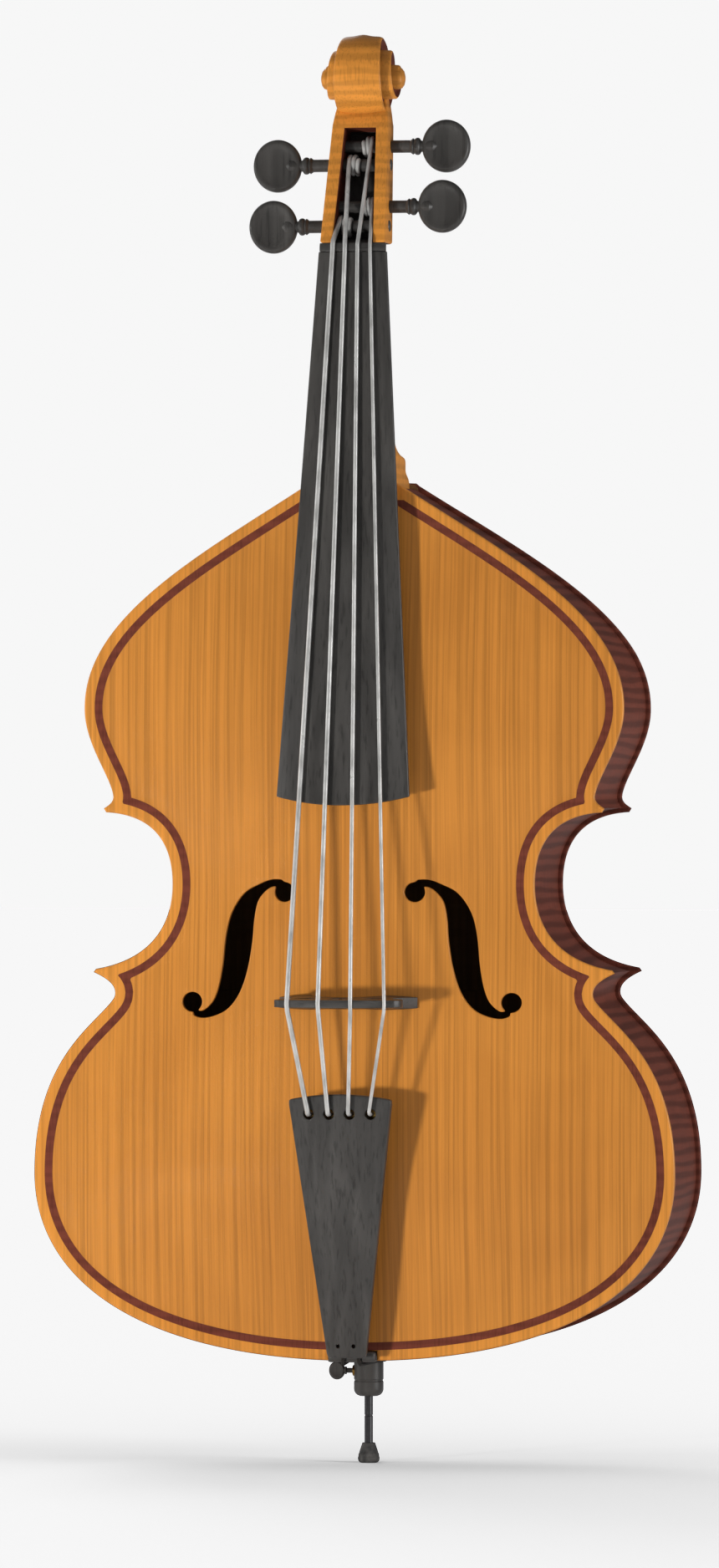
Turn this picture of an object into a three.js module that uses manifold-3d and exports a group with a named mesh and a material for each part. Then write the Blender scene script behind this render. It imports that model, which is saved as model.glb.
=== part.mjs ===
// A four-string double bass with sloping shoulders, a carved top and a flat back, in millimetres.
// +Z runs up the neck, the top faces -Y, and the origin is under the middle of the endpin's tip.
import * as THREE from "three";
import { mergeVertices } from "three/addons/utils/BufferGeometryUtils.js";
import Module from "manifold-3d";

const wasm = await Module();
wasm.setup();

const GAP = 0.3; // between pieces that are glued or that touch
const SIDES = 20; // of a turned piece
const FAR = 240; // outside every piece that a cutter goes through

// Outline of the plates: cubic curves of [half width, height], from the neck down to the endpin
const SHOULDER = [[56, 1246], [190, 1160], [347, 1080], [347, 962]];
const UPPER_TURN = [[347, 962], [348, 918], [314, 876], [310, 851]];
const UPPER_CORNER = [[310, 851], [308, 842], [316, 838], [322, 834]];
const WAIST_TOP = [[319, 829], [262, 826], [233, 795], [233, 738]];
const WAIST_BOTTOM = [[233, 738], [233, 684], [262, 642], [332, 630]];
const LOWER_CORNER = [[335, 626], [312, 616], [304, 606], [308, 594]];
const LOWER_SIDE = [[308, 594], [330, 560], [412, 520], [412, 371]];
const BOTTOM = [[412, 371], [412, 225], [260, 135], [0, 135]];
const PLATE_TOP = 1250;
const PLATE_TOP_HALF = 52;
const PLATE_BOTTOM = 135;

// Body
const RIB_DEPTH = 210;
const RIB_FRONT = -RIB_DEPTH / 2;
const RIB_BACK = RIB_DEPTH / 2;
const RIB_THICKNESS = 3;
const OVERHANG = 6; // of the plates over the ribs
const EDGE_THICKNESS = 7;
const BACK_THICKNESS = 6;
const BREAK_HEIGHT = 1030; // above it the flat back slopes in towards the neck
const BREAK_SLOPE = 0.25;
const BUTTON_WIDTH = 76;
const BUTTON_HEIGHT = 30;
const ARCH_HEIGHT = 30;
const ARCH_MARGIN = 8; // flat edge outside the arch
const HOLLOW = 1.5; // how much lower the inner arch is
const LINING_WIDTH = 6;
const LINING_DEPTH = 20;
const CORNER_REACH = 40; // of a corner block along each rib
const NECK_BLOCK_REACH = 50;
const NECK_BLOCK_BOTTOM = 1178;
const END_BLOCK_REACH = 75;
const END_BLOCK_TOP = 192;
const BRACE_DEPTH = 26;
const BASS_BAR = { x: -62, top: 1060, bottom: 290, width: 18, depth: 34 };
const BAR_CLEARANCE = 1.6; // under the coarse facets of the top
const SOUND_POST = { x: 62, height: 572, radius: 9 };

// Sound holes: the middle of the stem as [distance from the centre line, height]
const STEM = [[85, 740], [103, 739], [129, 719], [144, 669], [154, 611], [176, 579], [193, 573]];
const STEM_NARROW = 8;
const STEM_SWELL = 28;
const UPPER_EYE = [82, 727];
const LOWER_EYE = [205, 590];
const EYE_RADIUS = 13;

// Neck, fingerboard and strings
const NUT_HEIGHT = 1549;
const NUT_LENGTH = 10;
const BOARD_BOTTOM = 849;
const BOARD_TOP_WIDTH = 86;
const BOARD_BOTTOM_WIDTH = 170;
const BOARD_EDGE = 7; // thickness along its two long edges
const BOARD_TONGUE = 11; // by which the middle of its lower end is longer
const CROWN_RADIUS = 180; // of the board, the nut and the bridge
const GLUE_AT_NUT = -106; // where the board is glued to the neck
const GLUE_SLOPE = 0.098;
const HEEL_WIDTH = 100;
const HEEL_BOTTOM = 1230;
const STRING_AT_NUT = -123.2;
const STRING_AT_BRIDGE = -242;
const STRING_SEAT = 3.5; // from a string's middle to the nut or bridge under it
const STRINGS = [
  { name: "e", radius: 3.2, place: -1.5 },
  { name: "a", radius: 2.9, place: -0.5 },
  { name: "d", radius: 2.6, place: 0.5 },
  { name: "g", radius: 2.3, place: 1.5 },
];
const NUT_SPACING = 16;
const BRIDGE_SPACING = 41.4;
const TAIL_SPACING = 26.3;

// Head: the pegbox leans back from the nut, and each peg has its own height in it
const HEAD_BOTTOM = NUT_HEIGHT + 1;
const HEAD_LEAN = Math.tan(THREE.MathUtils.degToRad(20));
const HEAD_FRONT = -115;
const PEGBOX = { top: 1708, bottomWidth: 84, topWidth: 72, bottomDepth: 63, topDepth: 48, cheek: 16 };
const CHANNEL = [[1551, 8], [1558, 46], [1696, 46]]; // [height, depth], with a ramp behind the nut
const SCROLL = { y: -38, height: 1762 };
const SCROLL_STEPS = [[56, 31], [38, 42], [18, 54]]; // radius and half width of each turn
const PEGS = {
  e: { side: -1, height: 1572, drum: -14 },
  g: { side: 1, height: 1597, drum: 14 },
  a: { side: -1, height: 1651, drum: -8 },
  d: { side: 1, height: 1675, drum: 8 },
};
const PEG_RADIUS = 8;
const PEG_DEPTH = 27; // from the front of the pegbox to the pegs
const PEG_HEAD = { x: 108, halfWidth: 31, halfHeight: 33.5, halfThickness: 8 };
const DRUM_RADIUS = 11; // of the string wound on a peg
const DRUM_LENGTH = 12;

// Bridge and tailpiece
const BRIDGE_HEIGHT = 589;
const BRIDGE_THICKNESS = 20; // at its feet
const BRIDGE_CROWN_THICKNESS = 10;
const BRIDGE_SEAT = 5; // from a string's middle to the crown
const TAIL_TOP = 468;
const TAIL_BOTTOM = 141;
const TAIL_TOP_WIDTH = 132;
const TAIL_BOTTOM_WIDTH = 49;
const TAIL_TOP_Y = -196;
const TAIL_BOTTOM_Y = -150;
const TAIL_THICKNESS = 12;
const TAIL_HOLES = 450;
const TAIL_HOLE_RADIUS = 7.5;
const GUT_RADIUS = 2;
const GUT_HOLES = { x: 10, height: 156, radius: 2.6 };
const SADDLE = { halfWidth: 30, front: -121.5, bottom: 133.8, top: 147 };

// Endpin
const ROD_RADIUS = 5;
const ROD_BOTTOM = 13;
const ROD_TOP = 400;
const SOCKET = { bore: 5.06, bottom: 85, rounding: 15, flange: 18.5, plug: 16.4, plugLength: 36, taper: 1 };
const SCREW = { height: 117, radius: 3, tip: -5.4, neck: -31, end: -51, halfHeight: 11.5, halfThickness: 4 };

const MAPLE = new THREE.MeshStandardMaterial({ color: 0x6f392c, roughness: 0.4 });
const SPRUCE = new THREE.MeshStandardMaterial({ color: 0xc37f33, roughness: 0.4 });
const HEAD_WOOD = new THREE.MeshStandardMaterial({ color: 0xd08836, roughness: 0.4 });
const RAW_WOOD = new THREE.MeshStandardMaterial({ color: 0x84623e, roughness: 0.8 });
const EBONY = new THREE.MeshStandardMaterial({ color: 0x404040, roughness: 0.45 });
const STEEL = new THREE.MeshStandardMaterial({ color: 0xc0c0c0, roughness: 0.3, metalness: 0.9 });
const RUBBER = new THREE.MeshStandardMaterial({ color: 0x303030, roughness: 0.9 });

const bass = new THREE.Group();

const at = (x, y, z) => new THREE.Vector3(x, y, z);
const spot = (x, y) => new THREE.Vector2(x, y);
const mix = THREE.MathUtils.lerp;

function addPiece(name, geometry, material) {
  const piece = new THREE.Mesh(geometry, material);
  piece.name = name;
  bass.add(piece);
}

// ---- Solids

function toSolid(geometry) {
  const bare = geometry.clone();
  bare.deleteAttribute("normal");
  bare.deleteAttribute("uv");
  const merged = mergeVertices(bare, 1e-3);
  const mesh = new wasm.Mesh({
    numProp: 3,
    vertProperties: merged.attributes.position.array,
    triVerts: new Uint32Array(merged.index.array),
  });
  return new wasm.Manifold(mesh);
}

function toGeometry(solid) {
  const mesh = solid.getMesh();
  const geometry = new THREE.BufferGeometry();
  geometry.setAttribute("position", new THREE.BufferAttribute(mesh.vertProperties, 3));
  geometry.setIndex(new THREE.BufferAttribute(mesh.triVerts, 1));
  return geometry;
}

function cut(geometry, ...tools) {
  return toGeometry(tools.reduce((left, tool) => left.subtract(toSolid(tool)), toSolid(geometry)));
}

function join(geometry, ...others) {
  return toGeometry(others.reduce((whole, other) => whole.add(toSolid(other)), toSolid(geometry)));
}

// The same surface with its faces pointing out.
function faceOut(geometry) {
  if (toSolid(geometry).volume() > 0) return geometry;
  const index = [...geometry.index.array];
  for (let i = 0; i < index.length; i += 3) [index[i + 1], index[i + 2]] = [index[i + 2], index[i + 1]];
  geometry.setIndex(index);
  return geometry;
}

// A closed solid through rings of equally many points, with a fan over each end.
function loft(rings) {
  const count = rings[0].length;
  const middle = (ring) => ring.reduce((sum, point) => sum.add(point), at(0, 0, 0)).divideScalar(count);
  const points = [...rings.flat(), middle(rings[0]), middle(rings.at(-1))];
  const index = [];
  for (let i = 0; i < count; i++) {
    const next = (i + 1) % count;
    for (let row = 0; row < rings.length - 1; row++) {
      const low = row * count;
      const high = low + count;
      index.push(low + i, low + next, high + next, low + i, high + next, high + i);
    }
    const last = (rings.length - 1) * count;
    index.push(points.length - 2, next, i, points.length - 1, last + i, last + next);
  }
  return faceOut(new THREE.BufferGeometry().setFromPoints(points).setIndex(index));
}

// An outline of [x, z] spots made into a solid between two depths.
function prism(outline, front, back) {
  const shape = new THREE.Shape(outline);
  const geometry = new THREE.ExtrudeGeometry(shape, { depth: back - front, bevelEnabled: false });
  return geometry.rotateX(Math.PI / 2).translate(0, back, 0);
}

// A profile of [radius, height] turned about the vertical axis.
function turned(profile, sides = SIDES) {
  const geometry = new THREE.LatheGeometry(profile.map(([radius, height]) => spot(radius, height)), sides);
  return faceOut(geometry.rotateX(Math.PI / 2));
}

function rodAlongX(radius, from, to, y, z, sides = SIDES) {
  const rod = new THREE.CylinderGeometry(radius, radius, Math.abs(to - from), sides);
  return rod.rotateZ(Math.PI / 2).translate((from + to) / 2, y, z);
}

function rodAlongY(radius, front, back, x, z, sides = SIDES) {
  return new THREE.CylinderGeometry(radius, radius, back - front, sides).translate(x, (front + back) / 2, z);
}

function block(left, right, front, back, bottom, top) {
  const box = new THREE.BoxGeometry(right - left, back - front, top - bottom);
  return box.translate((left + right) / 2, (front + back) / 2, (bottom + top) / 2);
}

// A tube through points, with one radius for each point.
function tube(points, radii, sides) {
  return loft(points.map((point, i) => {
    const before = points[Math.max(0, i - 1)];
    const after = points[Math.min(points.length - 1, i + 1)];
    const along = after.clone().sub(before).normalize();
    const across = Math.abs(along.x) > 0.8 ? at(0, 1, 0) : at(1, 0, 0);
    const up = across.clone().cross(along).normalize();
    const side = along.clone().cross(up);
    return Array.from({ length: sides }, (unused, k) => {
      const angle = (2 * Math.PI * k) / sides;
      const out = side.clone().multiplyScalar(Math.cos(angle)).addScaledVector(up, Math.sin(angle));
      return point.clone().addScaledVector(out, radii[i]);
    });
  }));
}

// ---- Outline of the body

function curvePoints(control, steps) {
  return new THREE.CubicBezierCurve(...control.map(([x, y]) => spot(x, y))).getPoints(steps);
}

const UPPER_BOUT = [
  ...curvePoints(SHOULDER, 7),
  ...curvePoints(UPPER_TURN, 4).slice(1),
  ...curvePoints(UPPER_CORNER, 2).slice(1),
];
const WAIST = [...curvePoints(WAIST_TOP, 5), ...curvePoints(WAIST_BOTTOM, 5).slice(1)];
const LOWER_BOUT = [
  ...curvePoints(LOWER_CORNER, 3),
  ...curvePoints(LOWER_SIDE, 5).slice(1),
  ...curvePoints(BOTTOM, 9).slice(1),
];
const OUTLINE = [...UPPER_BOUT, ...WAIST, ...LOWER_BOUT];

function halfWidth(height) {
  const below = OUTLINE.findIndex((point) => point.y <= height);
  if (below <= 0) return OUTLINE[0].x;
  const [high, low] = [OUTLINE[below - 1], OUTLINE[below]];
  return mix(low.x, high.x, (height - low.y) / (high.y - low.y));
}

// Moves a curve of the outline into the body.
function inset(points, distance) {
  return points.map((point, i) => {
    const before = points[Math.max(0, i - 1)];
    const after = points[Math.min(points.length - 1, i + 1)];
    const along = after.clone().sub(before).normalize();
    return spot(Math.max(0, point.x + along.y * distance), point.y - along.x * distance);
  });
}

// Where the stretch a-b crosses the stretch c-d, if it does.
function crossing(a, b, c, d) {
  const first = b.clone().sub(a);
  const second = d.clone().sub(c);
  const turn = first.cross(second);
  const between = c.clone().sub(a);
  const s = between.cross(second) / turn;
  const t = between.cross(first) / turn;
  return s >= 0 && s <= 1 && t >= 0 && t <= 1 ? a.clone().addScaledVector(first, s) : null;
}

// Cuts two curves off where they cross, at a corner.
function mitre(first, second) {
  for (let i = first.length - 1; i > 0; i--) {
    for (let j = 1; j < second.length; j++) {
      const corner = crossing(first[i - 1], first[i], second[j - 1], second[j]);
      if (corner) return [[...first.slice(0, i), corner], [corner.clone(), ...second.slice(j)]];
    }
  }
  throw new Error("the curves don't cross");
}

// The three curves of one side of the body, a distance inside the edge of the plates.
function bouts(distance) {
  const [upper, rest] = mitre(inset(UPPER_BOUT, distance), inset(WAIST, distance));
  const [waist, lower] = mitre(rest, inset(LOWER_BOUT, distance));
  return { upper, waist, lower };
}

// Shortens a curve by a length at its start.
function skip(points, length) {
  let left = length;
  for (let i = 1; i < points.length; i++) {
    const step = points[i].distanceTo(points[i - 1]);
    if (step > left) return [points[i - 1].clone().lerp(points[i], left / step), ...points.slice(i)];
    left -= step;
  }
  throw new Error("the curve is too short");
}

function skipEnds(points, start, end) {
  return skip(skip(points, start).reverse(), end).reverse();
}

// The first stretch of a curve, of a given length.
function head(points, length) {
  const whole = points.slice(1).reduce((sum, point, i) => sum + point.distanceTo(points[i]), 0);
  return skipEnds(points, 0, whole - length);
}

const mirrored = (points) => points.map((point) => spot(-point.x, point.y)).reverse();
const onSide = (points, side) => (side < 0 ? mirrored(points) : points);

// ---- Plates, ribs and the wood inside

function backPlane(height) {
  return RIB_BACK - BREAK_SLOPE * Math.max(0, height - BREAK_HEIGHT);
}

// Moves the back half of a piece in to the sloping part of the back.
function followBack(geometry) {
  const position = geometry.attributes.position;
  for (let i = 0; i < position.count; i++) {
    const y = position.getY(i);
    if (y > 0) position.setY(i, y + backPlane(position.getZ(i)) - RIB_BACK);
  }
  return geometry;
}

function archWidth(height) {
  const window = [-60, -40, -20, 0, 20, 40, 60];
  const inside = (z) => THREE.MathUtils.clamp(z, PLATE_BOTTOM + 1, PLATE_TOP - 1);
  const sum = window.reduce((total, step) => total + halfWidth(inside(height + step)), 0);
  return sum / window.length - ARCH_MARGIN;
}

function arch(x, height) {
  const side = Math.min(1, Math.abs(x) / archWidth(height));
  const across = (1 + Math.cos(Math.PI * side ** 1.15)) / 2;
  const lower = THREE.MathUtils.smoothstep(height, PLATE_BOTTOM, PLATE_BOTTOM + 260);
  const upper = 1 - THREE.MathUtils.smoothstep(height, PLATE_TOP - 330, PLATE_TOP);
  return ARCH_HEIGHT * across * lower * upper;
}

const topOuter = (x, height) => RIB_FRONT - EDGE_THICKNESS - arch(x, height);
const topInner = (x, height) => RIB_FRONT - Math.max(0, arch(x, height) - HOLLOW);

function stemPolygon() {
  const middle = new THREE.SplineCurve(STEM.map(([x, y]) => spot(x, y)));
  const steps = 12;
  const places = Array.from({ length: steps + 1 }, (unused, i) => i / steps);
  const edge = (t, side) => {
    const along = middle.getTangent(t);
    const half = (side * (STEM_NARROW + STEM_SWELL * Math.sin(Math.PI * t) ** 1.3)) / 2;
    return middle.getPoint(t).add(spot(along.y, -along.x).multiplyScalar(half));
  };
  return [...places.map((t) => edge(t, 1)), ...places.reverse().map((t) => edge(t, -1))];
}

function soundHole(side) {
  const eyes = [UPPER_EYE, LOWER_EYE].map(([x, z]) => rodAlongY(EYE_RADIUS, -FAR, 0, side * x, z, 14));
  return [prism(onSide(stemPolygon(), side), -FAR, 0), ...eyes];
}

function topHalf(side) {
  const columns = [0, 0.25, 0.5, 0.68, 0.82, 0.92, 1];
  const rows = [spot(PLATE_TOP_HALF, PLATE_TOP), ...OUTLINE.slice(0, -1)];
  const rings = rows.map((row) => {
    const across = columns.map((column) => side * mix(GAP / 2, row.x, column));
    const front = across.map((x) => at(x, topOuter(x, row.y), row.y));
    const back = across.map((x) => at(x, topInner(x, row.y), row.y));
    return [...front, ...back.reverse()];
  });
  const clear = 2 * GAP;
  const wide = HEEL_WIDTH / 2 + clear;
  const mortise = block(-wide, wide, -FAR, 0, HEEL_BOTTOM - clear, PLATE_TOP + clear);
  const saddleWide = SADDLE.halfWidth + clear;
  const saddleNotch = block(-saddleWide, saddleWide, -FAR, 0, PLATE_BOTTOM - clear, SADDLE.top + clear);
  return cut(loft(rings), mortise, saddleNotch, ...soundHole(side));
}

function backPlate() {
  const button = [12, 35, 60, 90].map((degrees) => {
    const angle = THREE.MathUtils.degToRad(degrees);
    return spot((BUTTON_WIDTH / 2) * Math.sin(angle), PLATE_TOP + BUTTON_HEIGHT * Math.cos(angle));
  });
  const body = OUTLINE.slice(0, -1);
  const above = body.filter((point) => point.y > BREAK_HEIGHT);
  const below = body.filter((point) => point.y < BREAK_HEIGHT);
  const ridge = spot(halfWidth(BREAK_HEIGHT), BREAK_HEIGHT);
  const rows = [...button, spot(PLATE_TOP_HALF, PLATE_TOP - 0.5), ...above, ridge, ...below];
  return loft(rows.map((row) => {
    const inner = backPlane(row.y) + GAP;
    const outer = inner + BACK_THICKNESS;
    return [
      at(-row.x, inner, row.y),
      at(row.x, inner, row.y),
      at(row.x, outer, row.y),
      at(-row.x, outer, row.y),
    ];
  }));
}

function boutStrip(bout, side, outside, width, start, end) {
  const outer = skipEnds(bouts(outside)[bout], start, end);
  const inner = skipEnds(bouts(outside + width)[bout], start, end);
  return onSide([...outer, ...inner.reverse()], side);
}

const RIB_INSIDE = OVERHANG + RIB_THICKNESS + GAP;
const BODY_FRONT = RIB_FRONT + GAP;
const BODY_BACK = RIB_BACK - GAP;

function plugHole() {
  const radius = SOCKET.plug + GAP;
  const hole = new THREE.CylinderGeometry(radius, radius, END_BLOCK_REACH + OVERHANG, SIDES);
  return hole.rotateX(Math.PI / 2).translate(0, 0, PLATE_BOTTOM + END_BLOCK_REACH / 2);
}

function addSide(word, side) {
  const ends = {
    upper: { rib: [0.5, 0.5], lining: [NECK_BLOCK_REACH + 4, CORNER_REACH + 6] },
    waist: { rib: [0.5, 0.5], lining: [CORNER_REACH + 6, CORNER_REACH + 6] },
    lower: { rib: [0.5, GAP / 2], lining: [CORNER_REACH + 6, END_BLOCK_REACH + 4] },
  };
  for (const [bout, { rib, lining }] of Object.entries(ends)) {
    const ribOutline = boutStrip(bout, side, OVERHANG, RIB_THICKNESS, ...rib);
    const ribSolid = followBack(prism(ribOutline, BODY_FRONT, BODY_BACK));
    addPiece(bout + "_rib_" + word, bout === "lower" ? cut(ribSolid, plugHole()) : ribSolid, MAPLE);
    const liningOutline = boutStrip(bout, side, RIB_INSIDE, LINING_WIDTH, ...lining);
    const topLining = prism(liningOutline, BODY_FRONT, BODY_FRONT + LINING_DEPTH);
    const backLining = followBack(prism(liningOutline, BODY_BACK - LINING_DEPTH, BODY_BACK));
    addPiece(bout + "_top_lining_" + word, topLining, RAW_WOOD);
    addPiece(bout + "_back_lining_" + word, backLining, RAW_WOOD);
  }
  const { upper, waist, lower } = bouts(RIB_INSIDE);
  const corner = (above, below) => {
    const start = head([...above].reverse(), CORNER_REACH).reverse();
    return onSide([...start, ...head(below, CORNER_REACH).slice(1)], side);
  };
  addPiece("upper_corner_block_" + word, prism(corner(upper, waist), BODY_FRONT, BODY_BACK), RAW_WOOD);
  addPiece("lower_corner_block_" + word, prism(corner(waist, lower), BODY_FRONT, BODY_BACK), RAW_WOOD);
  addPiece("top_plate_" + word, topHalf(side), SPRUCE);
}

function neckBlock() {
  const right = head(bouts(RIB_INSIDE).upper, NECK_BLOCK_REACH);
  const edge = right.at(-1).x;
  const lowerCorners = [spot(edge, NECK_BLOCK_BOTTOM), spot(-edge, NECK_BLOCK_BOTTOM)];
  const outline = [...mirrored(right), ...right, ...lowerCorners];
  const wide = HEEL_WIDTH / 2 + 2 * GAP;
  const mortise = block(-wide, wide, -FAR, FAR, HEEL_BOTTOM - 2 * GAP, PLATE_TOP);
  return cut(followBack(prism(outline, BODY_FRONT, BODY_BACK)), mortise);
}

function endBlock() {
  const right = head([...bouts(RIB_INSIDE).lower].reverse(), END_BLOCK_REACH).reverse();
  const edge = right[0].x;
  const upperCorners = [spot(-edge, END_BLOCK_TOP), spot(edge, END_BLOCK_TOP)];
  const outline = [...right.slice(0, -1), ...mirrored(right), ...upperCorners];
  return cut(prism(outline, BODY_FRONT, BODY_BACK), plugHole());
}

function addBraces() {
  const braces = { lower: [330, 20], post: [SOUND_POST.height, 56], upper: [925, 20], break: [1018, 20] };
  for (const [name, [height, width]] of Object.entries(braces)) {
    const low = height - width / 2;
    const high = height + width / 2;
    const half = Math.min(halfWidth(low), halfWidth(high)) - RIB_INSIDE - LINING_WIDTH - 4;
    const brace = block(-half, half, BODY_BACK - BRACE_DEPTH, BODY_BACK, low, high);
    addPiece("back_brace_" + name, brace, RAW_WOOD);
  }
}

function bassBar() {
  const steps = 12;
  return loft(Array.from({ length: steps + 1 }, (unused, i) => {
    const height = mix(BASS_BAR.bottom, BASS_BAR.top, i / steps);
    const depth = 5 + (BASS_BAR.depth - 5) * Math.sin((Math.PI * i) / steps);
    const [left, right] = [BASS_BAR.x - BASS_BAR.width / 2, BASS_BAR.x + BASS_BAR.width / 2];
    const front = Math.max(topInner(left, height), topInner(right, height)) + BAR_CLEARANCE;
    return [
      at(left, front, height),
      at(right, front, height),
      at(right, front + depth, height),
      at(left, front + depth, height),
    ];
  }));
}

function soundPost() {
  const front = topInner(SOUND_POST.x + SOUND_POST.radius, SOUND_POST.height) + BAR_CLEARANCE;
  const back = BODY_BACK - BRACE_DEPTH - GAP;
  return rodAlongY(SOUND_POST.radius, front, back, SOUND_POST.x, SOUND_POST.height);
}

// ---- Neck, fingerboard and nut

const gluePlane = (height) => GLUE_AT_NUT - GLUE_SLOPE * (NUT_HEIGHT - height);

function boardWidth(height) {
  const along = (NUT_HEIGHT - height) / (NUT_HEIGHT - BOARD_BOTTOM);
  return mix(BOARD_TOP_WIDTH, BOARD_BOTTOM_WIDTH, along);
}

const crownDrop = (x) => x ** 2 / (2 * CROWN_RADIUS);

// Flat in front and round behind; the higher the power, the squarer the back.
function neckRing(height, half, back, power) {
  const front = gluePlane(height) + GAP;
  const count = 14;
  return Array.from({ length: count + 1 }, (unused, i) => {
    const angle = (Math.PI * i) / count;
    const x = Math.sign(Math.cos(angle)) * Math.abs(Math.cos(angle)) ** (2 / power) * half;
    return at(x, front + (back - front) * Math.sin(angle) ** (2 / power), height);
  });
}

function neck() {
  const seat = (height) => backPlane(height) - 0.1;
  const sections = [
    [NUT_HEIGHT + 0.6, 41, -73, 2],
    [1450, 47, -81, 2],
    [1350, 53, -88, 2],
    [1318, 55, -86, 2.2],
    [1298, 54, -66, 2.6],
    [1286, 53, -30, 3.2],
    [1278, 52, seat(1278), 4],
    [1262, HEEL_WIDTH / 2, seat(1262), 5],
    [1250, HEEL_WIDTH / 2, seat(1250), 8],
    [HEEL_BOTTOM, HEEL_WIDTH / 2, seat(HEEL_BOTTOM), 8],
  ];
  return loft(sections.map((section) => neckRing(...section)));
}

function fingerboard() {
  const ring = (height, tongue) => {
    const half = boardWidth(height) / 2;
    const count = 8;
    const spread = Array.from({ length: count + 1 }, (unused, i) => mix(-half, half, i / count));
    const place = (x, thickness) => {
      const low = height - tongue * (1 - (x / half) ** 2);
      return at(x, gluePlane(low) - thickness, low);
    };
    const top = spread.map((x) => place(x, BOARD_EDGE + crownDrop(half) - crownDrop(x)));
    const under = spread.map((x) => place(x, 0));
    return [...top, ...under.reverse()];
  };
  return loft([ring(NUT_HEIGHT - NUT_LENGTH - GAP, 0), ring(BOARD_BOTTOM, BOARD_TONGUE)]);
}

function nut() {
  const half = BOARD_TOP_WIDTH / 2 - 1;
  const spread = [-1, -0.6, -0.2, 0.2, 0.6, 1].map((share) => share * half);
  const ring = (height, lower = 0) => [
    ...spread.map((x) => at(x, STRING_AT_NUT + STRING_SEAT + crownDrop(x) + lower, height)),
    at(half, gluePlane(height), height),
    at(-half, gluePlane(height), height),
  ];
  return loft([ring(NUT_HEIGHT - NUT_LENGTH), ring(NUT_HEIGHT - 2), ring(NUT_HEIGHT + 0.5, 3)]);
}

// ---- Head, pegs and strings

const headFront = (height) => HEAD_FRONT + HEAD_LEAN * (height - HEAD_BOTTOM);
const pegDepth = (height) => headFront(height) + PEG_DEPTH;

function pegboxHalf(height) {
  return mix(PEGBOX.bottomWidth, PEGBOX.topWidth, (height - HEAD_BOTTOM) / (PEGBOX.top - HEAD_BOTTOM)) / 2;
}

function boxRing(height, half, front, back) {
  return [at(-half, front, height), at(half, front, height), at(half, back, height), at(-half, back, height)];
}

function scrollHead() {
  const heights = [HEAD_BOTTOM, PEGBOX.top, SCROLL.height];
  const depths = [PEGBOX.bottomDepth, PEGBOX.topDepth, 30];
  const halves = [pegboxHalf(HEAD_BOTTOM), pegboxHalf(PEGBOX.top), 24];
  const pegbox = loft(heights.map((height, i) => {
    return boxRing(height, halves[i], headFront(height), headFront(height) + depths[i]);
  }));
  const channel = loft(CHANNEL.map(([height, depth]) => {
    const front = headFront(height);
    return boxRing(height, pegboxHalf(height) - PEGBOX.cheek, front - 20, front + depth);
  }));
  const turns = SCROLL_STEPS.map(([radius, half]) =>
    rodAlongX(radius, -half, half, SCROLL.y, SCROLL.height, 28),
  );
  const holes = Object.values(PEGS).map(({ height }) => {
    return rodAlongX(PEG_RADIUS + 0.4, -FAR, FAR, pegDepth(height), height);
  });
  return cut(join(pegbox, ...turns), channel, ...holes);
}

function peg({ side, height }) {
  const farEnd = -side * (pegboxHalf(height) + 1);
  const shaft = rodAlongX(PEG_RADIUS, farEnd, side * (PEG_HEAD.x - 20), pegDepth(height), height);
  const collar = rodAlongX(PEG_RADIUS + 3, side * 68, side * 74, pegDepth(height), height);
  const disc = new THREE.SphereGeometry(1, 16, 10);
  disc.scale(PEG_HEAD.halfWidth, PEG_HEAD.halfThickness, PEG_HEAD.halfHeight);
  disc.translate(side * PEG_HEAD.x, pegDepth(height), height);
  return join(shaft, collar, disc);
}

// The turns of string on a peg, as one sleeve round its shaft.
function winding({ height, drum }) {
  const [low, high] = [-DRUM_LENGTH / 2, DRUM_LENGTH / 2];
  const bore = PEG_RADIUS + GAP;
  const sleeve = turned([[bore, low], [DRUM_RADIUS, low], [DRUM_RADIUS, high], [bore, high], [bore, low]]);
  return sleeve.rotateY(Math.PI / 2).translate(drum, pegDepth(height), height);
}

// From the ball under the tailpiece through its hole, over the bridge and the nut, and to the peg.
function string({ name, radius, place }) {
  const { height, drum } = PEGS[name];
  const tail = place * TAIL_SPACING;
  const saddle = place * BRIDGE_SPACING;
  const top = place * NUT_SPACING;
  const bridgeY = STRING_AT_BRIDGE + crownDrop(saddle);
  const nutY = STRING_AT_NUT + crownDrop(top);
  const ballRadius = TAIL_HOLE_RADIUS + 1.5;
  const under = tailMiddle(TAIL_HOLES - ballRadius) + TAIL_THICKNESS / 2 + GAP;
  const points = [
    at(tail, under + 8, TAIL_HOLES),
    at(tail, under, TAIL_HOLES),
    at(tail, under - 0.1, TAIL_HOLES),
    at(tail, tailTop(tail, TAIL_HOLES) - 3.5, TAIL_HOLES),
    at(mix(tail, saddle, 0.02), tailTop(tail, TAIL_HOLES) - 7, TAIL_HOLES + 3),
    at(saddle, bridgeY + 1.4, BRIDGE_HEIGHT - 8),
    at(saddle, bridgeY, BRIDGE_HEIGHT),
    at(mix(saddle, top, 0.01), mix(bridgeY, nutY, 0.01), BRIDGE_HEIGHT + 10),
    at(top, nutY, NUT_HEIGHT - 8),
    at(top, nutY + 0.2, NUT_HEIGHT - 2),
    at(mix(top, drum, 0.1), nutY + 2.2, NUT_HEIGHT + 3),
    at(drum, pegDepth(height) - DRUM_RADIUS - radius - 0.6, height - 4),
    at(drum, pegDepth(height) - DRUM_RADIUS - radius - 0.6, height + 3),
  ];
  const radii = points.map((point, i) => (i < 2 ? ballRadius : radius));
  return tube(points, radii, 8);
}

// ---- Bridge, tailpiece, tailgut and saddle

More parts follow.
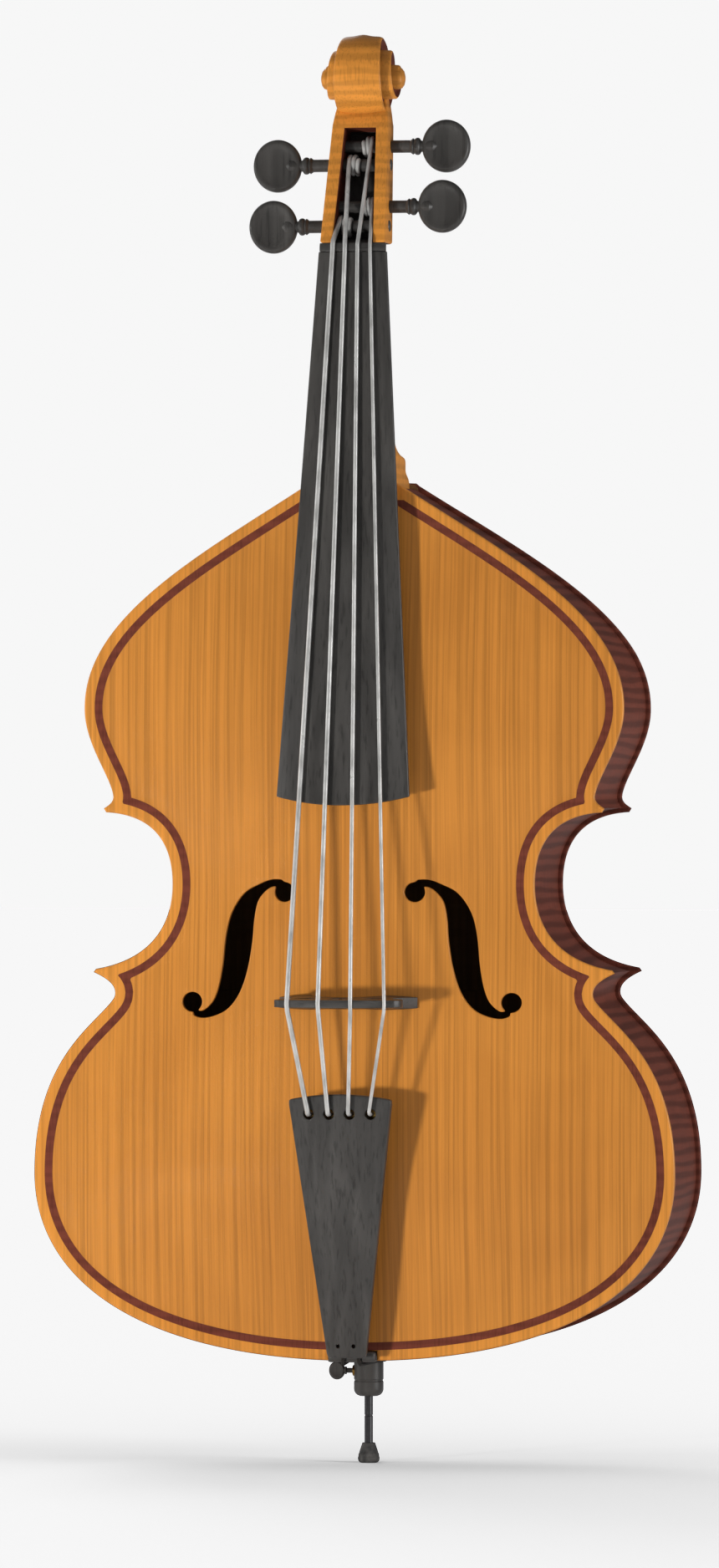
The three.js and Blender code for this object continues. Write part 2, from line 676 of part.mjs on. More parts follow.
function bridge() {
  const foot = (x) => topOuter(x, BRIDGE_HEIGHT) - GAP;
  const crown = (x) => STRING_AT_BRIDGE + BRIDGE_SEAT + crownDrop(x);
  const arm = 74;
  const right = [
    [0, foot(0) - 36],
    [26, foot(26) - 30],
    [42, foot(42) - 16],
    [48, foot(48)],
    [68, foot(68)],
    [88, foot(88)],
    [88, foot(88) - 6],
    [76, foot(76) - 22],
    [64, foot(64) - 44],
    [70, foot(70) - 60],
    [82, crown(arm) + 22],
    [arm, crown(arm)],
    [50, crown(50)],
    [25, crown(25)],
    [0, crown(0)],
  ].map(([x, y]) => spot(x, y));
  const left = mirrored(right).slice(1, -1);
  const shape = new THREE.Shape([...right, ...left]);
  const solid = new THREE.ExtrudeGeometry(shape, { depth: BRIDGE_THICKNESS, bevelEnabled: false });
  const position = solid.attributes.position;
  for (let i = 0; i < position.count; i++) {
    const share = (position.getY(i) - foot(0)) / (crown(0) - foot(0));
    const thickness = mix(1, BRIDGE_CROWN_THICKNESS / BRIDGE_THICKNESS, share);
    position.setZ(i, BRIDGE_HEIGHT + (position.getZ(i) - BRIDGE_THICKNESS / 2) * thickness);
  }
  return solid;
}

const tailShare = (height) => (height - TAIL_BOTTOM) / (TAIL_TOP - TAIL_BOTTOM);
const tailMiddle = (height) => mix(TAIL_BOTTOM_Y, TAIL_TOP_Y, tailShare(height));
const tailHalf = (height) => mix(TAIL_BOTTOM_WIDTH, TAIL_TOP_WIDTH, tailShare(height)) / 2;
const tailCrown = (height) => mix(3, 9, tailShare(height));

function tailTop(x, height) {
  const edge = tailMiddle(height) - TAIL_THICKNESS / 2;
  return edge - tailCrown(height) * (1 - (x / tailHalf(height)) ** 2);
}

function tailpiece() {
  const ring = (height, tongue) => {
    const half = tailHalf(height);
    const spread = [-1, -0.7, -0.35, 0, 0.35, 0.7, 1].map((share) => share * half);
    const reach = (x) => height + tongue * (1 - (x / half) ** 2);
    const top = spread.map((x) => at(x, tailTop(x, reach(x)), reach(x)));
    const under = spread.map((x) => at(x, tailMiddle(reach(x)) + TAIL_THICKNESS / 2, reach(x)));
    return [...top, ...under.reverse()];
  };
  const holes = STRINGS.map(({ place }) => {
    return rodAlongY(TAIL_HOLE_RADIUS, -FAR, 0, place * TAIL_SPACING, TAIL_HOLES, 14);
  });
  const gutHoles = [-1, 1].map((side) => {
    return rodAlongY(GUT_HOLES.radius, -FAR, 0, side * GUT_HOLES.x, GUT_HOLES.height, 10);
  });
  return cut(loft([ring(TAIL_BOTTOM, 0), ring(TAIL_TOP, 7)]), ...holes, ...gutHoles);
}

// From one hole in the tailpiece over the saddle, round the endpin's socket and back to the other hole.
function tailgut() {
  const under = SADDLE.bottom - GUT_RADIUS - 0.6;
  const loop = 21.5;
  const right = [
    at(GUT_HOLES.x, tailMiddle(GUT_HOLES.height) - 3, GUT_HOLES.height),
    at(GUT_HOLES.x, tailMiddle(GUT_HOLES.height) + 10, GUT_HOLES.height),
    at(GUT_HOLES.x, SADDLE.front - 8, 151),
    at(GUT_HOLES.x, SADDLE.front - 3.2, 144),
    at(GUT_HOLES.x, SADDLE.front - 3.2, 135),
    at(GUT_HOLES.x + 1, SADDLE.front - 2.2, under),
    at(GUT_HOLES.x + 2, SADDLE.front + 3, under - 0.4),
    at(loop, 0, under),
  ];
  const round = [30, 60, 90, 120, 150].map((degrees) => {
    const angle = THREE.MathUtils.degToRad(degrees);
    return at(loop * Math.cos(angle), loop * Math.sin(angle), under);
  });
  const left = right.map((point) => at(-point.x, point.y, point.z)).reverse();
  const points = [...right, ...round, ...left];
  return tube(points, points.map(() => GUT_RADIUS), 8);
}

function addFittings() {
  const { halfWidth: half, front, bottom, top } = SADDLE;
  addPiece("bridge", bridge(), EBONY);
  addPiece("tailpiece", tailpiece(), EBONY);
  addPiece("tailgut", tailgut(), EBONY);
  addPiece("saddle", block(-half, half, front, RIB_FRONT - GAP, bottom, top), EBONY);
}

// ---- Endpin

function socket() {
  const { bore, bottom, rounding, flange, plug, plugLength, taper } = SOCKET;
  const seat = PLATE_BOTTOM + OVERHANG - 0.4;
  const body = turned([
    [bore, bottom],
    [flange * 0.54, bottom],
    [flange * 0.81, bottom + rounding / 4],
    [flange, bottom + rounding],
    [flange, seat],
    [plug, seat],
    [plug - taper, seat + plugLength],
    [bore, seat + plugLength],
    [bore, bottom],
  ], 32);
  return cut(body, rodAlongX(SCREW.radius + 0.4, -FAR, 0, 0, SCREW.height));
}

function endpinTip() {
  const bore = ROD_RADIUS + GAP;
  const floor = ROD_BOTTOM - GAP;
  const outside = [[0, 0], [9.5, 0], [13, 2], [13.5, 6], [11.5, 14], [8, 25]];
  return turned([...outside, [bore, 25], [bore, floor], [0, floor]], 24);
}

function endpinRod() {
  const [low, high] = [ROD_BOTTOM, ROD_TOP];
  return turned([[0, low], [ROD_RADIUS, low], [ROD_RADIUS, high - 2], [ROD_RADIUS - 2, high], [0, high]], 32);
}

function thumbscrew() {
  const { height, radius, tip, neck: start, end, halfHeight, halfThickness } = SCREW;
  const shaft = rodAlongX(radius, tip, start - 4, 0, height);
  const paddle = new THREE.CylinderGeometry(1, 1, 2 * halfThickness, 16);
  paddle.scale((start - end) / 2, 1, halfHeight).translate((start + end) / 2, 0, height);
  return join(shaft, paddle);
}

// ---- Assembly

addSide("bass", -1);
addSide("treble", 1);
addPiece("back_plate", backPlate(), MAPLE);
addPiece("neck_block", neckBlock(), RAW_WOOD);
addPiece("end_block", endBlock(), RAW_WOOD);
addPiece("bass_bar", bassBar(), RAW_WOOD);
addPiece("sound_post", soundPost(), RAW_WOOD);
addBraces();
addPiece("neck", neck(), HEAD_WOOD);
addPiece("head", scrollHead(), HEAD_WOOD);
addPiece("fingerboard", fingerboard(), EBONY);
addPiece("nut", nut(), EBONY);
addFittings();
for (const wire of STRINGS) {
  addPiece("peg_" + wire.name, peg(PEGS[wire.name]), EBONY);
  addPiece("winding_" + wire.name, winding(PEGS[wire.name]), STEEL);
  addPiece("string_" + wire.name, string(wire), STEEL);
}
addPiece("endpin_socket", socket(), EBONY);
addPiece("endpin_rod", endpinRod(), STEEL);
addPiece("endpin_tip", endpinTip(), RUBBER);
addPiece("thumbscrew", thumbscrew(), EBONY);

export default bass;
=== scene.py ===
"""The looks of a four-string double bass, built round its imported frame.

Lengths are in millimetres until a mesh is made. +Z runs up the neck and the top faces -Y. Plates are flat
outlines in the X-Z plane, lifted to their front and back surfaces.
"""

import math

import bmesh
import bpy
import numpy as np
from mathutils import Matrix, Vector
from mathutils.geometry import delaunay_2d_cdt
from mathutils.kdtree import KDTree


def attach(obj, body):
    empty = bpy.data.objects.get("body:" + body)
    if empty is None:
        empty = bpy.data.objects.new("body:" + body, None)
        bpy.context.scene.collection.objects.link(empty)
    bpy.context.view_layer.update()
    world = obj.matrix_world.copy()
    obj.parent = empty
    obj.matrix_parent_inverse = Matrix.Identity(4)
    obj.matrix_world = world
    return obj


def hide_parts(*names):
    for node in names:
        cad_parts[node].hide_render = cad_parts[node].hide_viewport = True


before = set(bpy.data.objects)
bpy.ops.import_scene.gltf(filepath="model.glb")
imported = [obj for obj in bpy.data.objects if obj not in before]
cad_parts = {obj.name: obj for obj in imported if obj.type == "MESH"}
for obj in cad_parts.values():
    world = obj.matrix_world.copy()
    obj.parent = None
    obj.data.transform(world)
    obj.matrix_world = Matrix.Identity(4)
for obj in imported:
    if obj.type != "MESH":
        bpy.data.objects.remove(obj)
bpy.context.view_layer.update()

MM = 0.001

# Outline of the plates: cubic curves of (half width, height), from the neck down to the endpin
SHOULDER = [(56, 1246), (190, 1160), (347, 1080), (347, 962)]
UPPER_TURN = [(347, 962), (348, 918), (314, 876), (310, 851)]
UPPER_CORNER = [(310, 851), (308, 842), (316, 838), (322, 834)]
WAIST_TOP = [(319, 829), (262, 826), (233, 795), (233, 738)]
WAIST_BOTTOM = [(233, 738), (233, 684), (262, 642), (332, 630)]
LOWER_CORNER = [(335, 626), (312, 616), (304, 606), (308, 594)]
LOWER_SIDE = [(308, 594), (330, 560), (412, 520), (412, 371)]
BOTTOM = [(412, 371), (412, 225), (260, 135), (0, 135)]
PLATE_TOP = 1250
PLATE_TOP_HALF = 52
PLATE_BOTTOM = 135

# Body
RIB_FRONT = -105
RIB_BACK = 105
RIB_THICKNESS = 3
OVERHANG = 6
RIB_ROWS = 9
RIB_MIDDLE = OVERHANG + RIB_THICKNESS / 2
EDGE_THICKNESS = 7
BACK_THICKNESS = 6
BREAK_HEIGHT = 1030
BREAK_SLOPE = 0.25
BUTTON_HALF = 38
BUTTON_HEIGHT = 30
ARCH_HEIGHT = 30
ARCH_MARGIN = 8
ARCH_POWER = 1.15  # above 1 it makes the middle of the arch fuller
ARCH_FOOT = 260  # lengths over which the arch rises from each end of the top
ARCH_NECK = 330
ARCH_BLUR = 60  # the arch follows the outline's mean width over this far up and down
HOLLOW = 1.5
GAP = 0.3

# Neck, fingerboard and strings
NUT_HEIGHT = 1549
NUT_LENGTH = 10
BOARD_BOTTOM = 849
BOARD_TOP_WIDTH = 86
BOARD_BOTTOM_WIDTH = 170
BOARD_EDGE = 7
BOARD_TONGUE = 11
CROWN_RADIUS = 180
HEEL_HALF = 50
HEEL_BOTTOM = 1230
STRING_AT_NUT = -123.2
STRING_AT_BRIDGE = -242
STRING_SEAT = 3.5
# Radius and place across of each string
STRINGS = {"e": (3.2, -1.5), "a": (2.9, -0.5), "d": (2.6, 0.5), "g": (2.3, 1.5)}
NUT_SPACING = 16
BRIDGE_SPACING = 41.4
TAIL_SPACING = 26.3

# Head
HEAD_BOTTOM = 1550
HEAD_LEAN = math.tan(math.radians(20))
HEAD_FRONT = -115
# Side, height and the drum's place across of each peg
PEGS = {"e": (-1, 1572, -14), "g": (1, 1597, 14), "a": (-1, 1651, -8), "d": (1, 1675, 8)}
PEG_RADIUS = 8
PEG_DEPTH = 27
PEG_HEAD_X = 108

# Bridge and tailpiece
BRIDGE_HEIGHT = 589
TAIL_TOP = 468
TAIL_BOTTOM = 141
TAIL_THICKNESS = 12
TAIL_HOLES = 450
GUT_X = 10
GUT_HEIGHT = 156
SADDLE_HALF = 30
SADDLE_FRONT = -121.5
SADDLE_BOTTOM = 133.8
SADDLE_TOP = 147


# ---- Numbers and curves

MIRROR = np.array([-1, 1])


def full_circle(count):
    return np.linspace(0, 2 * np.pi, count, endpoint=False)


def mix(low, high, share):
    return low + (high - low) * share


def smoothstep(value, low, high):
    share = np.clip((value - low) / (high - low), 0, 1)
    return share * share * (3 - 2 * share)


def bezier(control, steps):
    """Points along a cubic curve."""
    t = np.linspace(0, 1, steps + 1)[:, None]
    a, b, c, d = (np.array(point, float) for point in control)
    return (1 - t) ** 3 * a + 3 * (1 - t) ** 2 * t * b + 3 * (1 - t) * t**2 * c + t**3 * d


def through(points, steps):
    """A smooth curve through points, with a number of steps between each two."""
    points = np.array(points, float)
    padded = np.vstack([2 * points[0] - points[1], points, 2 * points[-1] - points[-2]])
    result = []
    for i in range(1, len(padded) - 2):
        before, start, end, after = padded[i - 1 : i + 3]
        for t in np.linspace(0, 1, steps, endpoint=False):
            slope_in, slope_out = (end - before) / 2, (after - start) / 2
            result.append(
                (2 * t**3 - 3 * t**2 + 1) * start
                + (t**3 - 2 * t**2 + t) * slope_in
                + (3 * t**2 - 2 * t**3) * end
                + (t**3 - t**2) * slope_out
            )
    result.append(points[-1])
    return np.array(result)


def resample(points, step):
    """The same curve with its points about one step apart."""
    points = np.array(points, float)
    lengths = np.concatenate([[0], np.cumsum(np.linalg.norm(np.diff(points, axis=0), axis=1))])
    places = np.linspace(0, lengths[-1], max(2, round(lengths[-1] / step)) + 1)
    return np.column_stack([np.interp(places, lengths, points[:, k]) for k in range(points.shape[1])])


def inset(points, distance):
    """Moves one side's curve of the outline into the body."""
    points = np.array(points, float)
    along = np.vstack([points[1] - points[0], points[2:] - points[:-2], points[-1] - points[-2]])
    along /= np.linalg.norm(along, axis=1)[:, None]
    moved = points + distance * np.column_stack([along[:, 1], -along[:, 0]])
    moved[:, 0] = np.maximum(moved[:, 0], 0)
    return moved


def crossing(a, b, c, d):
    first, second, between = b - a, d - c, c - a
    turn = first[0] * second[1] - first[1] * second[0]
    if abs(turn) < 1e-12:
        return None
    s = (between[0] * second[1] - between[1] * second[0]) / turn
    t = (between[0] * first[1] - between[1] * first[0]) / turn
    return a + first * s if 0 <= s <= 1 and 0 <= t <= 1 else None


def mitre(first, second):
    """Cuts two curves off where they cross, at a corner."""
    for i in range(len(first) - 1, 0, -1):
        for j in range(1, len(second)):
            corner = crossing(first[i - 1], first[i], second[j - 1], second[j])
            if corner is not None:
                return np.vstack([first[:i], corner]), np.vstack([corner, second[j:]])
    raise ValueError("the curves don't cross")


STEP = 4.0  # between two points of the outline
UPPER_BOUT = resample(
    np.vstack([bezier(SHOULDER, 80), bezier(UPPER_TURN, 30)[1:], bezier(UPPER_CORNER, 10)[1:]]), STEP
)
WAIST = resample(np.vstack([bezier(WAIST_TOP, 40), bezier(WAIST_BOTTOM, 40)[1:]]), STEP)
LOWER_BOUT = resample(
    np.vstack([bezier(LOWER_CORNER, 15), bezier(LOWER_SIDE, 60)[1:], bezier(BOTTOM, 120)[1:]]), STEP
)
OUTLINE = np.vstack([UPPER_BOUT, WAIST, LOWER_BOUT])


def bouts(distance):
    """The three curves of one side of the body, a distance inside the edge of the plates."""
    upper, rest = mitre(inset(UPPER_BOUT, distance), inset(WAIST, distance))
    waist, lower = mitre(rest, inset(LOWER_BOUT, distance))
    return {"upper": upper, "waist": waist, "lower": lower}


def both_sides(right):
    """A curve down the right side, turned into one from the top left round the bottom to the top right."""
    left = right * MIRROR
    return np.vstack([left, right[::-1][1:]])


def half_width(height):
    return np.interp(height, OUTLINE[::-1, 1], OUTLINE[::-1, 0])


def arch_width(height):
    window = np.linspace(-ARCH_BLUR, ARCH_BLUR, 13)
    heights = np.clip(np.asarray(height, float)[..., None] + window, PLATE_BOTTOM + 1, PLATE_TOP - 1)
    return half_width(heights).mean(axis=-1) - ARCH_MARGIN


def arch(x, height):
    side = np.minimum(1, np.abs(x) / arch_width(height))
    across = (1 + np.cos(np.pi * side**ARCH_POWER)) / 2
    lower = smoothstep(height, PLATE_BOTTOM, PLATE_BOTTOM + ARCH_FOOT)
    upper = 1 - smoothstep(height, PLATE_TOP - ARCH_NECK, PLATE_TOP)
    return ARCH_HEIGHT * across * lower * upper


def top_outer(x, height):
    return RIB_FRONT - EDGE_THICKNESS - arch(x, height)


def top_inner(x, height):
    return RIB_FRONT - np.maximum(0, arch(x, height) - HOLLOW)


def back_plane(height):
    return RIB_BACK - BREAK_SLOPE * np.maximum(0, height - BREAK_HEIGHT)


# ---- Meshes

BEVEL_ANGLE = 40  # degrees between two faces whose shared edge is rounded
SAME_POINT = 1e-5  # two points closer than this are one
GRID_CLEAR = 0.55  # of the spacing between a plate's inner points and its borders


def add_piece(name, points, faces, materials, slot, body="root", nodes=None, kinds=None, sharp=40):
    """A named piece of the bass from points in millimetres. It stands for the CAD node of its own name,
    unless nodes lists others or none. kinds gives each face's material."""
    mesh = bpy.data.meshes.new(name)
    mesh.from_pydata([Vector(map(float, point)) * MM for point in points], [], [list(f) for f in faces])
    for material in materials:
        mesh.materials.append(material)
    if kinds is not None:
        mesh.polygons.foreach_set("material_index", list(kinds))
    work = bmesh.new()
    work.from_mesh(mesh)
    bmesh.ops.remove_doubles(work, verts=work.verts, dist=1e-6)
    bmesh.ops.recalc_face_normals(work, faces=work.faces)
    work.to_mesh(mesh)
    work.free()
    mesh.polygons.foreach_set("use_smooth", [True] * len(mesh.polygons))
    mesh.set_sharp_from_angle(angle=math.radians(sharp))
    made = linked(name, mesh)
    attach(made, body)
    nodes = (name,) if nodes is None else nodes
    if nodes:
        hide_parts(*nodes)
    return made


def bevel(made, width, segments):
    """Rounds the hard edges of a piece."""
    modifier = made.modifiers.new("rounding", "BEVEL")
    modifier.width = width * MM
    modifier.segments = segments
    modifier.limit_method = "ANGLE"
    modifier.angle_limit = math.radians(BEVEL_ANGLE)
    modifier.harden_normals = True


def loft(rings, closed_path=False):
    """Points and faces through rings of equally many points, with an end face on each open end."""
    count, rows = len(rings[0]), len(rings)
    points = [tuple(p) for ring in rings for p in ring]
    faces = []
    for row in range(rows if closed_path else rows - 1):
        low, high = row * count, (row + 1) % rows * count
        for i in range(count):
            faces.append((low + i, low + (i + 1) % count, high + (i + 1) % count, high + i))
    if not closed_path:
        faces.append(tuple(range(count)))
        faces.append(tuple(range((rows - 1) * count, rows * count)))
    return points, faces


def merged(*solids):
    """Several (points, faces) as one."""
    points, faces = [], []
    for some_points, some_faces in solids:
        start = len(points)
        points += [tuple(p) for p in some_points]
        faces += [tuple(start + i for i in face) for face in some_faces]
    return points, faces


def turned(profile, sides=64, centre=(0, 0, 0), axis="z"):
    """A profile of (radius, distance along the axis) turned about an axis. A radius of 0 closes an end."""
    rings, angles = [], full_circle(sides)
    for radius, along in profile:
        circle = [(max(radius, 1e-3) * math.cos(a), max(radius, 1e-3) * math.sin(a)) for a in angles]
        if axis == "z":
            rings.append([(u, v, along) for u, v in circle])
        elif axis == "x":
            rings.append([(along, u, v) for u, v in circle])
        else:
            rings.append([(u, along, v) for u, v in circle])
    return loft([[np.add(p, centre) for p in ring] for ring in rings])


def tube(path, radii, sides=12):
    """A round tube along a path, without twist."""
    path = np.array(path, float)
    radii = np.broadcast_to(radii, len(path))
    along = np.gradient(path, axis=0)
    along /= np.linalg.norm(along, axis=1)[:, None]
    side = np.cross(along[0], (0.3, 0.9, 0.2) if abs(along[0][1]) < 0.9 else (1, 0, 0))
    rings = []
    for point, direction, radius in zip(path, along, radii):
        side = side - direction * np.dot(side, direction)
        side /= np.linalg.norm(side)
        other = np.cross(direction, side)
        circle = [math.cos(a) * side + math.sin(a) * other for a in full_circle(sides)]
        rings.append([point + radius * spoke for spoke in circle])
    return loft(rings)


def shrink(loop, distance):
    """Moves a closed loop of points to its left by a distance, with true corners."""
    loop = np.array(loop, float)
    before = loop - np.roll(loop, 1, axis=0)
    after = np.roll(loop, -1, axis=0) - loop
    before /= np.linalg.norm(before, axis=1)[:, None]
    after /= np.linalg.norm(after, axis=1)[:, None]
    normal = np.column_stack([-(before + after)[:, 1], (before + after)[:, 0]])
    size = np.linalg.norm(normal, axis=1)
    normal /= np.maximum(size, 1e-6)[:, None]
    stretch = 1 / np.maximum(size / 2, 0.6)
    return loop + normal * (distance * stretch)[:, None]


def anticlockwise(loop):
    loop = np.array(loop, float)
    x, y = loop[:, 0], loop[:, 1]
    area = np.sum(x * np.roll(y, -1) - np.roll(x, -1) * y)
    return loop if area > 0 else loop[::-1]


def inside(points, loop):
    """Which points lie inside a closed loop."""
    points = np.asarray(points, float)
    result = np.zeros(len(points), bool)
    for (x1, y1), (x2, y2) in zip(loop, np.roll(loop, -1, axis=0)):
        spans = (y1 > points[:, 1]) != (y2 > points[:, 1])
        if spans.any():
            at = (x2 - x1) * (points[:, 1] - y1) / (y2 - y1 + 1e-15) + x1
            result ^= spans & (points[:, 0] < at)
    return result


def tree_of(flat):
    """A search tree of flat points."""
    tree = KDTree(len(flat))
    for i, (u, v) in enumerate(flat):
        tree.insert((u, v, 0), i)
    tree.balance()
    return tree


def nearest(points, curve):
    """The distance from each point to the nearest point of a dense curve."""
    tree = tree_of(curve)
    return np.array([tree.find((u, v, 0))[2] for u, v in points])


def triangulated(points, edges):
    """The points and triangles between edges, and the middle of each triangle."""
    vertices, _, triangles, *_ = delaunay_2d_cdt([Vector(p) for p in points], edges, [], 0, SAME_POINT)
    flat = np.array([tuple(v) for v in vertices])
    triangles = np.array([tuple(t) for t in triangles])
    return flat, triangles, flat[triangles].mean(axis=1)


def face_middles(points, faces):
    return np.array([np.mean([points[i] for i in face], axis=0) for face in faces])


def linked(name, data):
    """A new object in the scene."""
    made = bpy.data.objects.new(name, data)
    bpy.context.scene.collection.objects.link(made)
    return made


def fill(loops, spacing, lines=()):
    """Triangles between loops, the first one outside and the others holes. Gives the points and triangles."""
    edges, points = [], []
    for loop, closed in [(loop, True) for loop in loops] + [(line, False) for line in lines]:
        start = len(points)
        points += [tuple(p) for p in loop]
        count = len(loop)
        edges += [(start + i, start + (i + 1) % count) for i in range(count if closed else count - 1)]
    low, high = np.min(loops[0], axis=0), np.max(loops[0], axis=0)
    if spacing:
        rows = np.arange(low[1] + spacing / 2, high[1], spacing * math.sqrt(3) / 2)
        grid = []
        for i, y in enumerate(rows):
            xs = np.arange(0, high[0], spacing) + (spacing / 2 if i % 2 else 0)
            xs = np.concatenate([-xs[::-1], xs]) if low[0] < 0 else xs
            grid += [(x, y) for x in np.unique(xs)]
        grid = np.array(grid)
        grid = grid[inside(grid, loops[0])]
        for hole in loops[1:]:
            grid = grid[~inside(grid, hole)]
        borders = np.vstack([resample(np.vstack([loop, loop[:1]]), spacing / 3) for loop in loops])
        if len(lines):
            borders = np.vstack([borders] + [resample(line, spacing / 3) for line in lines])
        points += [tuple(p) for p in grid[nearest(grid, borders) > spacing * GRID_CLEAR]]
    flat, triangles, middles = triangulated(points, edges)
    keep = inside(middles, loops[0])
    for hole in loops[1:]:
        keep &= ~inside(middles, hole)
    return flat, triangles[keep]


def plate(rims, front, back, spacing, lines=(), steps=4):
    """A plate between front(x, z) and back(x, z), which give its Y. rims are (loop, radius of its rounding),
    the first one outside and the others holes. Gives points and faces."""
    outer_loops, inner_loops = [], []
    for i, (loop, radius) in enumerate(rims):
        loop = anticlockwise(loop) if i == 0 else anticlockwise(loop)[::-1]
        outer_loops.append(loop)
        inner_loops.append(shrink(loop, radius) if radius else loop)
    flat, triangles = fill(inner_loops, spacing, lines)
    used = np.unique(triangles)
    number = {old: new for new, old in enumerate(used)}
    flat = flat[used]
    triangles = [[number[i] for i in triangle] for triangle in triangles]
    count = len(flat)
    points = [(x, y, z) for (x, z), y in zip(flat, front(flat[:, 0], flat[:, 1]))]
    points += [(x, y, z) for (x, z), y in zip(flat, back(flat[:, 0], flat[:, 1]))]
    faces = triangles + [[i + count for i in reversed(triangle)] for triangle in triangles]
    tree = tree_of(flat)
    for outer, inner, (_, radius) in zip(outer_loops, inner_loops, rims):
        anchors = [tree.find((x, z, 0))[1] for x, z in inner]
        front_y = front(inner[:, 0], inner[:, 1])
        back_y = back(inner[:, 0], inner[:, 1])
        rows = [anchors]
        bends = list(range(1, steps + 1)) if radius else []
        for surface, sign, order in ((front_y, 1, bends), (back_y, -1, bends[::-1])):
            for k in order:
                turn = math.pi / 2 * k / steps
                spots = inner + (outer - inner) * math.sin(turn)
                depths = surface + sign * radius * (1 - math.cos(turn))
                rows.append(list(range(len(points), len(points) + len(inner))))
                points += [(x, y, z) for (x, z), y in zip(spots, depths)]
        rows.append([i + count for i in anchors])
        for low, high in zip(rows, rows[1:]):
            for i in range(len(inner)):
                j = (i + 1) % len(inner)
                faces.append([low[i], low[j], high[j], high[i]])
    return points, faces


# ---- Materials


def srgb(red, green, blue):
    def linear(value):
        value /= 255
        return value / 12.92 if value <= 0.04045 else ((value + 0.055) / 1.055) ** 2.4

    return (linear(red), linear(green), linear(blue), 1)


# Sockets of a colour mix node, which has others of the same names
MIX_AMOUNT = 0
MIX_FIRST = 6
MIX_SECOND = 7
MIX_COLOUR = 2


class Surface:
    """A material with one shader, and short calls for the nodes that feed it."""

    def __init__(self, name, roughness, metallic=0.0, specular=0.5, coat=0.0, coat_roughness=0.1):
        self.material = bpy.data.materials.new(name)
        self.material.use_nodes = True
        self.nodes = self.material.node_tree.nodes
        self.links = self.material.node_tree.links
        self.shader = self.nodes["Principled BSDF"]
        for socket, value in (
            ("Roughness", roughness),
            ("Metallic", metallic),
            ("Specular IOR Level", specular),
            ("Coat Weight", coat),
            ("Coat Roughness", coat_roughness),
        ):
            self.shader.inputs[socket].default_value = value
        self.place = self.nodes.new("ShaderNodeTexCoord").outputs["Object"]

    def node(self, kind, inputs):
        """A new node. Each of its inputs gets a value or a link."""
        made = self.nodes.new(kind)
        for socket, value in inputs.items():
            if isinstance(value, bpy.types.NodeSocket):
                self.links.new(value, made.inputs[socket])
            else:
                made.inputs[socket].default_value = value
        return made

    def stretched(self, scale, turn=(0, 0, 0)):
        """The place on the object in metres, scaled along each axis."""
        turn = [math.radians(angle) for angle in turn]
        inputs = {"Scale": scale, "Rotation": turn, "Vector": self.place}
        return self.node("ShaderNodeMapping", inputs).outputs["Vector"]

    def mirrored(self, scale):
        """As stretched, but the same on both sides of the centre line."""
        split = self.node("ShaderNodeSeparateXYZ", {0: self.stretched(scale)}).outputs
        fold = self.node("ShaderNodeMath", {0: split["X"]})
        fold.operation = "ABSOLUTE"
        inputs = {"X": fold.outputs[0], "Y": split["Y"], "Z": split["Z"]}
        return self.node("ShaderNodeCombineXYZ", inputs).outputs[0]

    def noise(self, vector, detail=3.0, distortion=0.0):
        inputs = {"Scale": 1, "Detail": detail, "Distortion": distortion, "Vector": vector}
        return self.node("ShaderNodeTexNoise", inputs).outputs["Fac"]

    def grain(self, scale, detail=3.0, distortion=0.0):
        """Noise stretched along the object's axes."""
        return self.noise(self.stretched(scale), detail, distortion)

    def bands(self, vector, direction, distortion=0.0, detail=0.0, detail_scale=1.0):
        inputs = {"Scale": 1, "Distortion": distortion, "Detail": detail, "Detail Scale": detail_scale}
        node = self.node("ShaderNodeTexWave", {**inputs, "Vector": vector})
        node.bands_direction = direction
        return node.outputs["Fac"]

    def ramp(self, factor, *stops):
        """A colour or grey for each (place, colour)."""
        node = self.node("ShaderNodeValToRGB", {"Fac": factor})
        elements = node.color_ramp.elements
        while len(elements) < len(stops):
            elements.new(0.5)
        for element, (place, colour) in zip(elements, stops):
            element.position = place
            element.color = colour if isinstance(colour, tuple) else (colour, colour, colour, 1)
        return node.outputs["Color"]

    def tinted(self, amount, first, second):
        """The first colour multiplied by the second, by an amount."""
        node = self.nodes.new("ShaderNodeMix")
        node.data_type = "RGBA"
        node.blend_type = "MULTIPLY"
        node.clamp_factor = True
        node.inputs[MIX_AMOUNT].default_value = amount
        for socket, value in ((MIX_FIRST, first), (MIX_SECOND, second)):
            if isinstance(value, bpy.types.NodeSocket):
                self.links.new(value, node.inputs[socket])
            else:
                node.inputs[socket].default_value = value
        return node.outputs[MIX_COLOUR]

    def colour(self, source):
        self.links.new(source, self.shader.inputs["Base Color"])

    def roughness(self, factor, low, high):
        node = self.node("ShaderNodeMapRange", {"To Min": low, "To Max": high, "Value": factor})
        self.links.new(node.outputs[0], self.shader.inputs["Roughness"])

    def bump(self, *layers):
        """Each layer is (height, depth in millimetres, strength)."""
        normal = None
        for height, depth, strength in layers:
            inputs = {"Distance": depth * MM, "Strength": strength, "Height": height}
            if normal:
                inputs["Normal"] = normal
            normal = self.node("ShaderNodeBump", inputs).outputs[0]
        self.links.new(normal, self.shader.inputs["Normal"])


def shaded(colour, share):
    """A share of a colour: darker below 1 and paler above it."""
    return tuple(channel * share for channel in colour[:3]) + (1,)


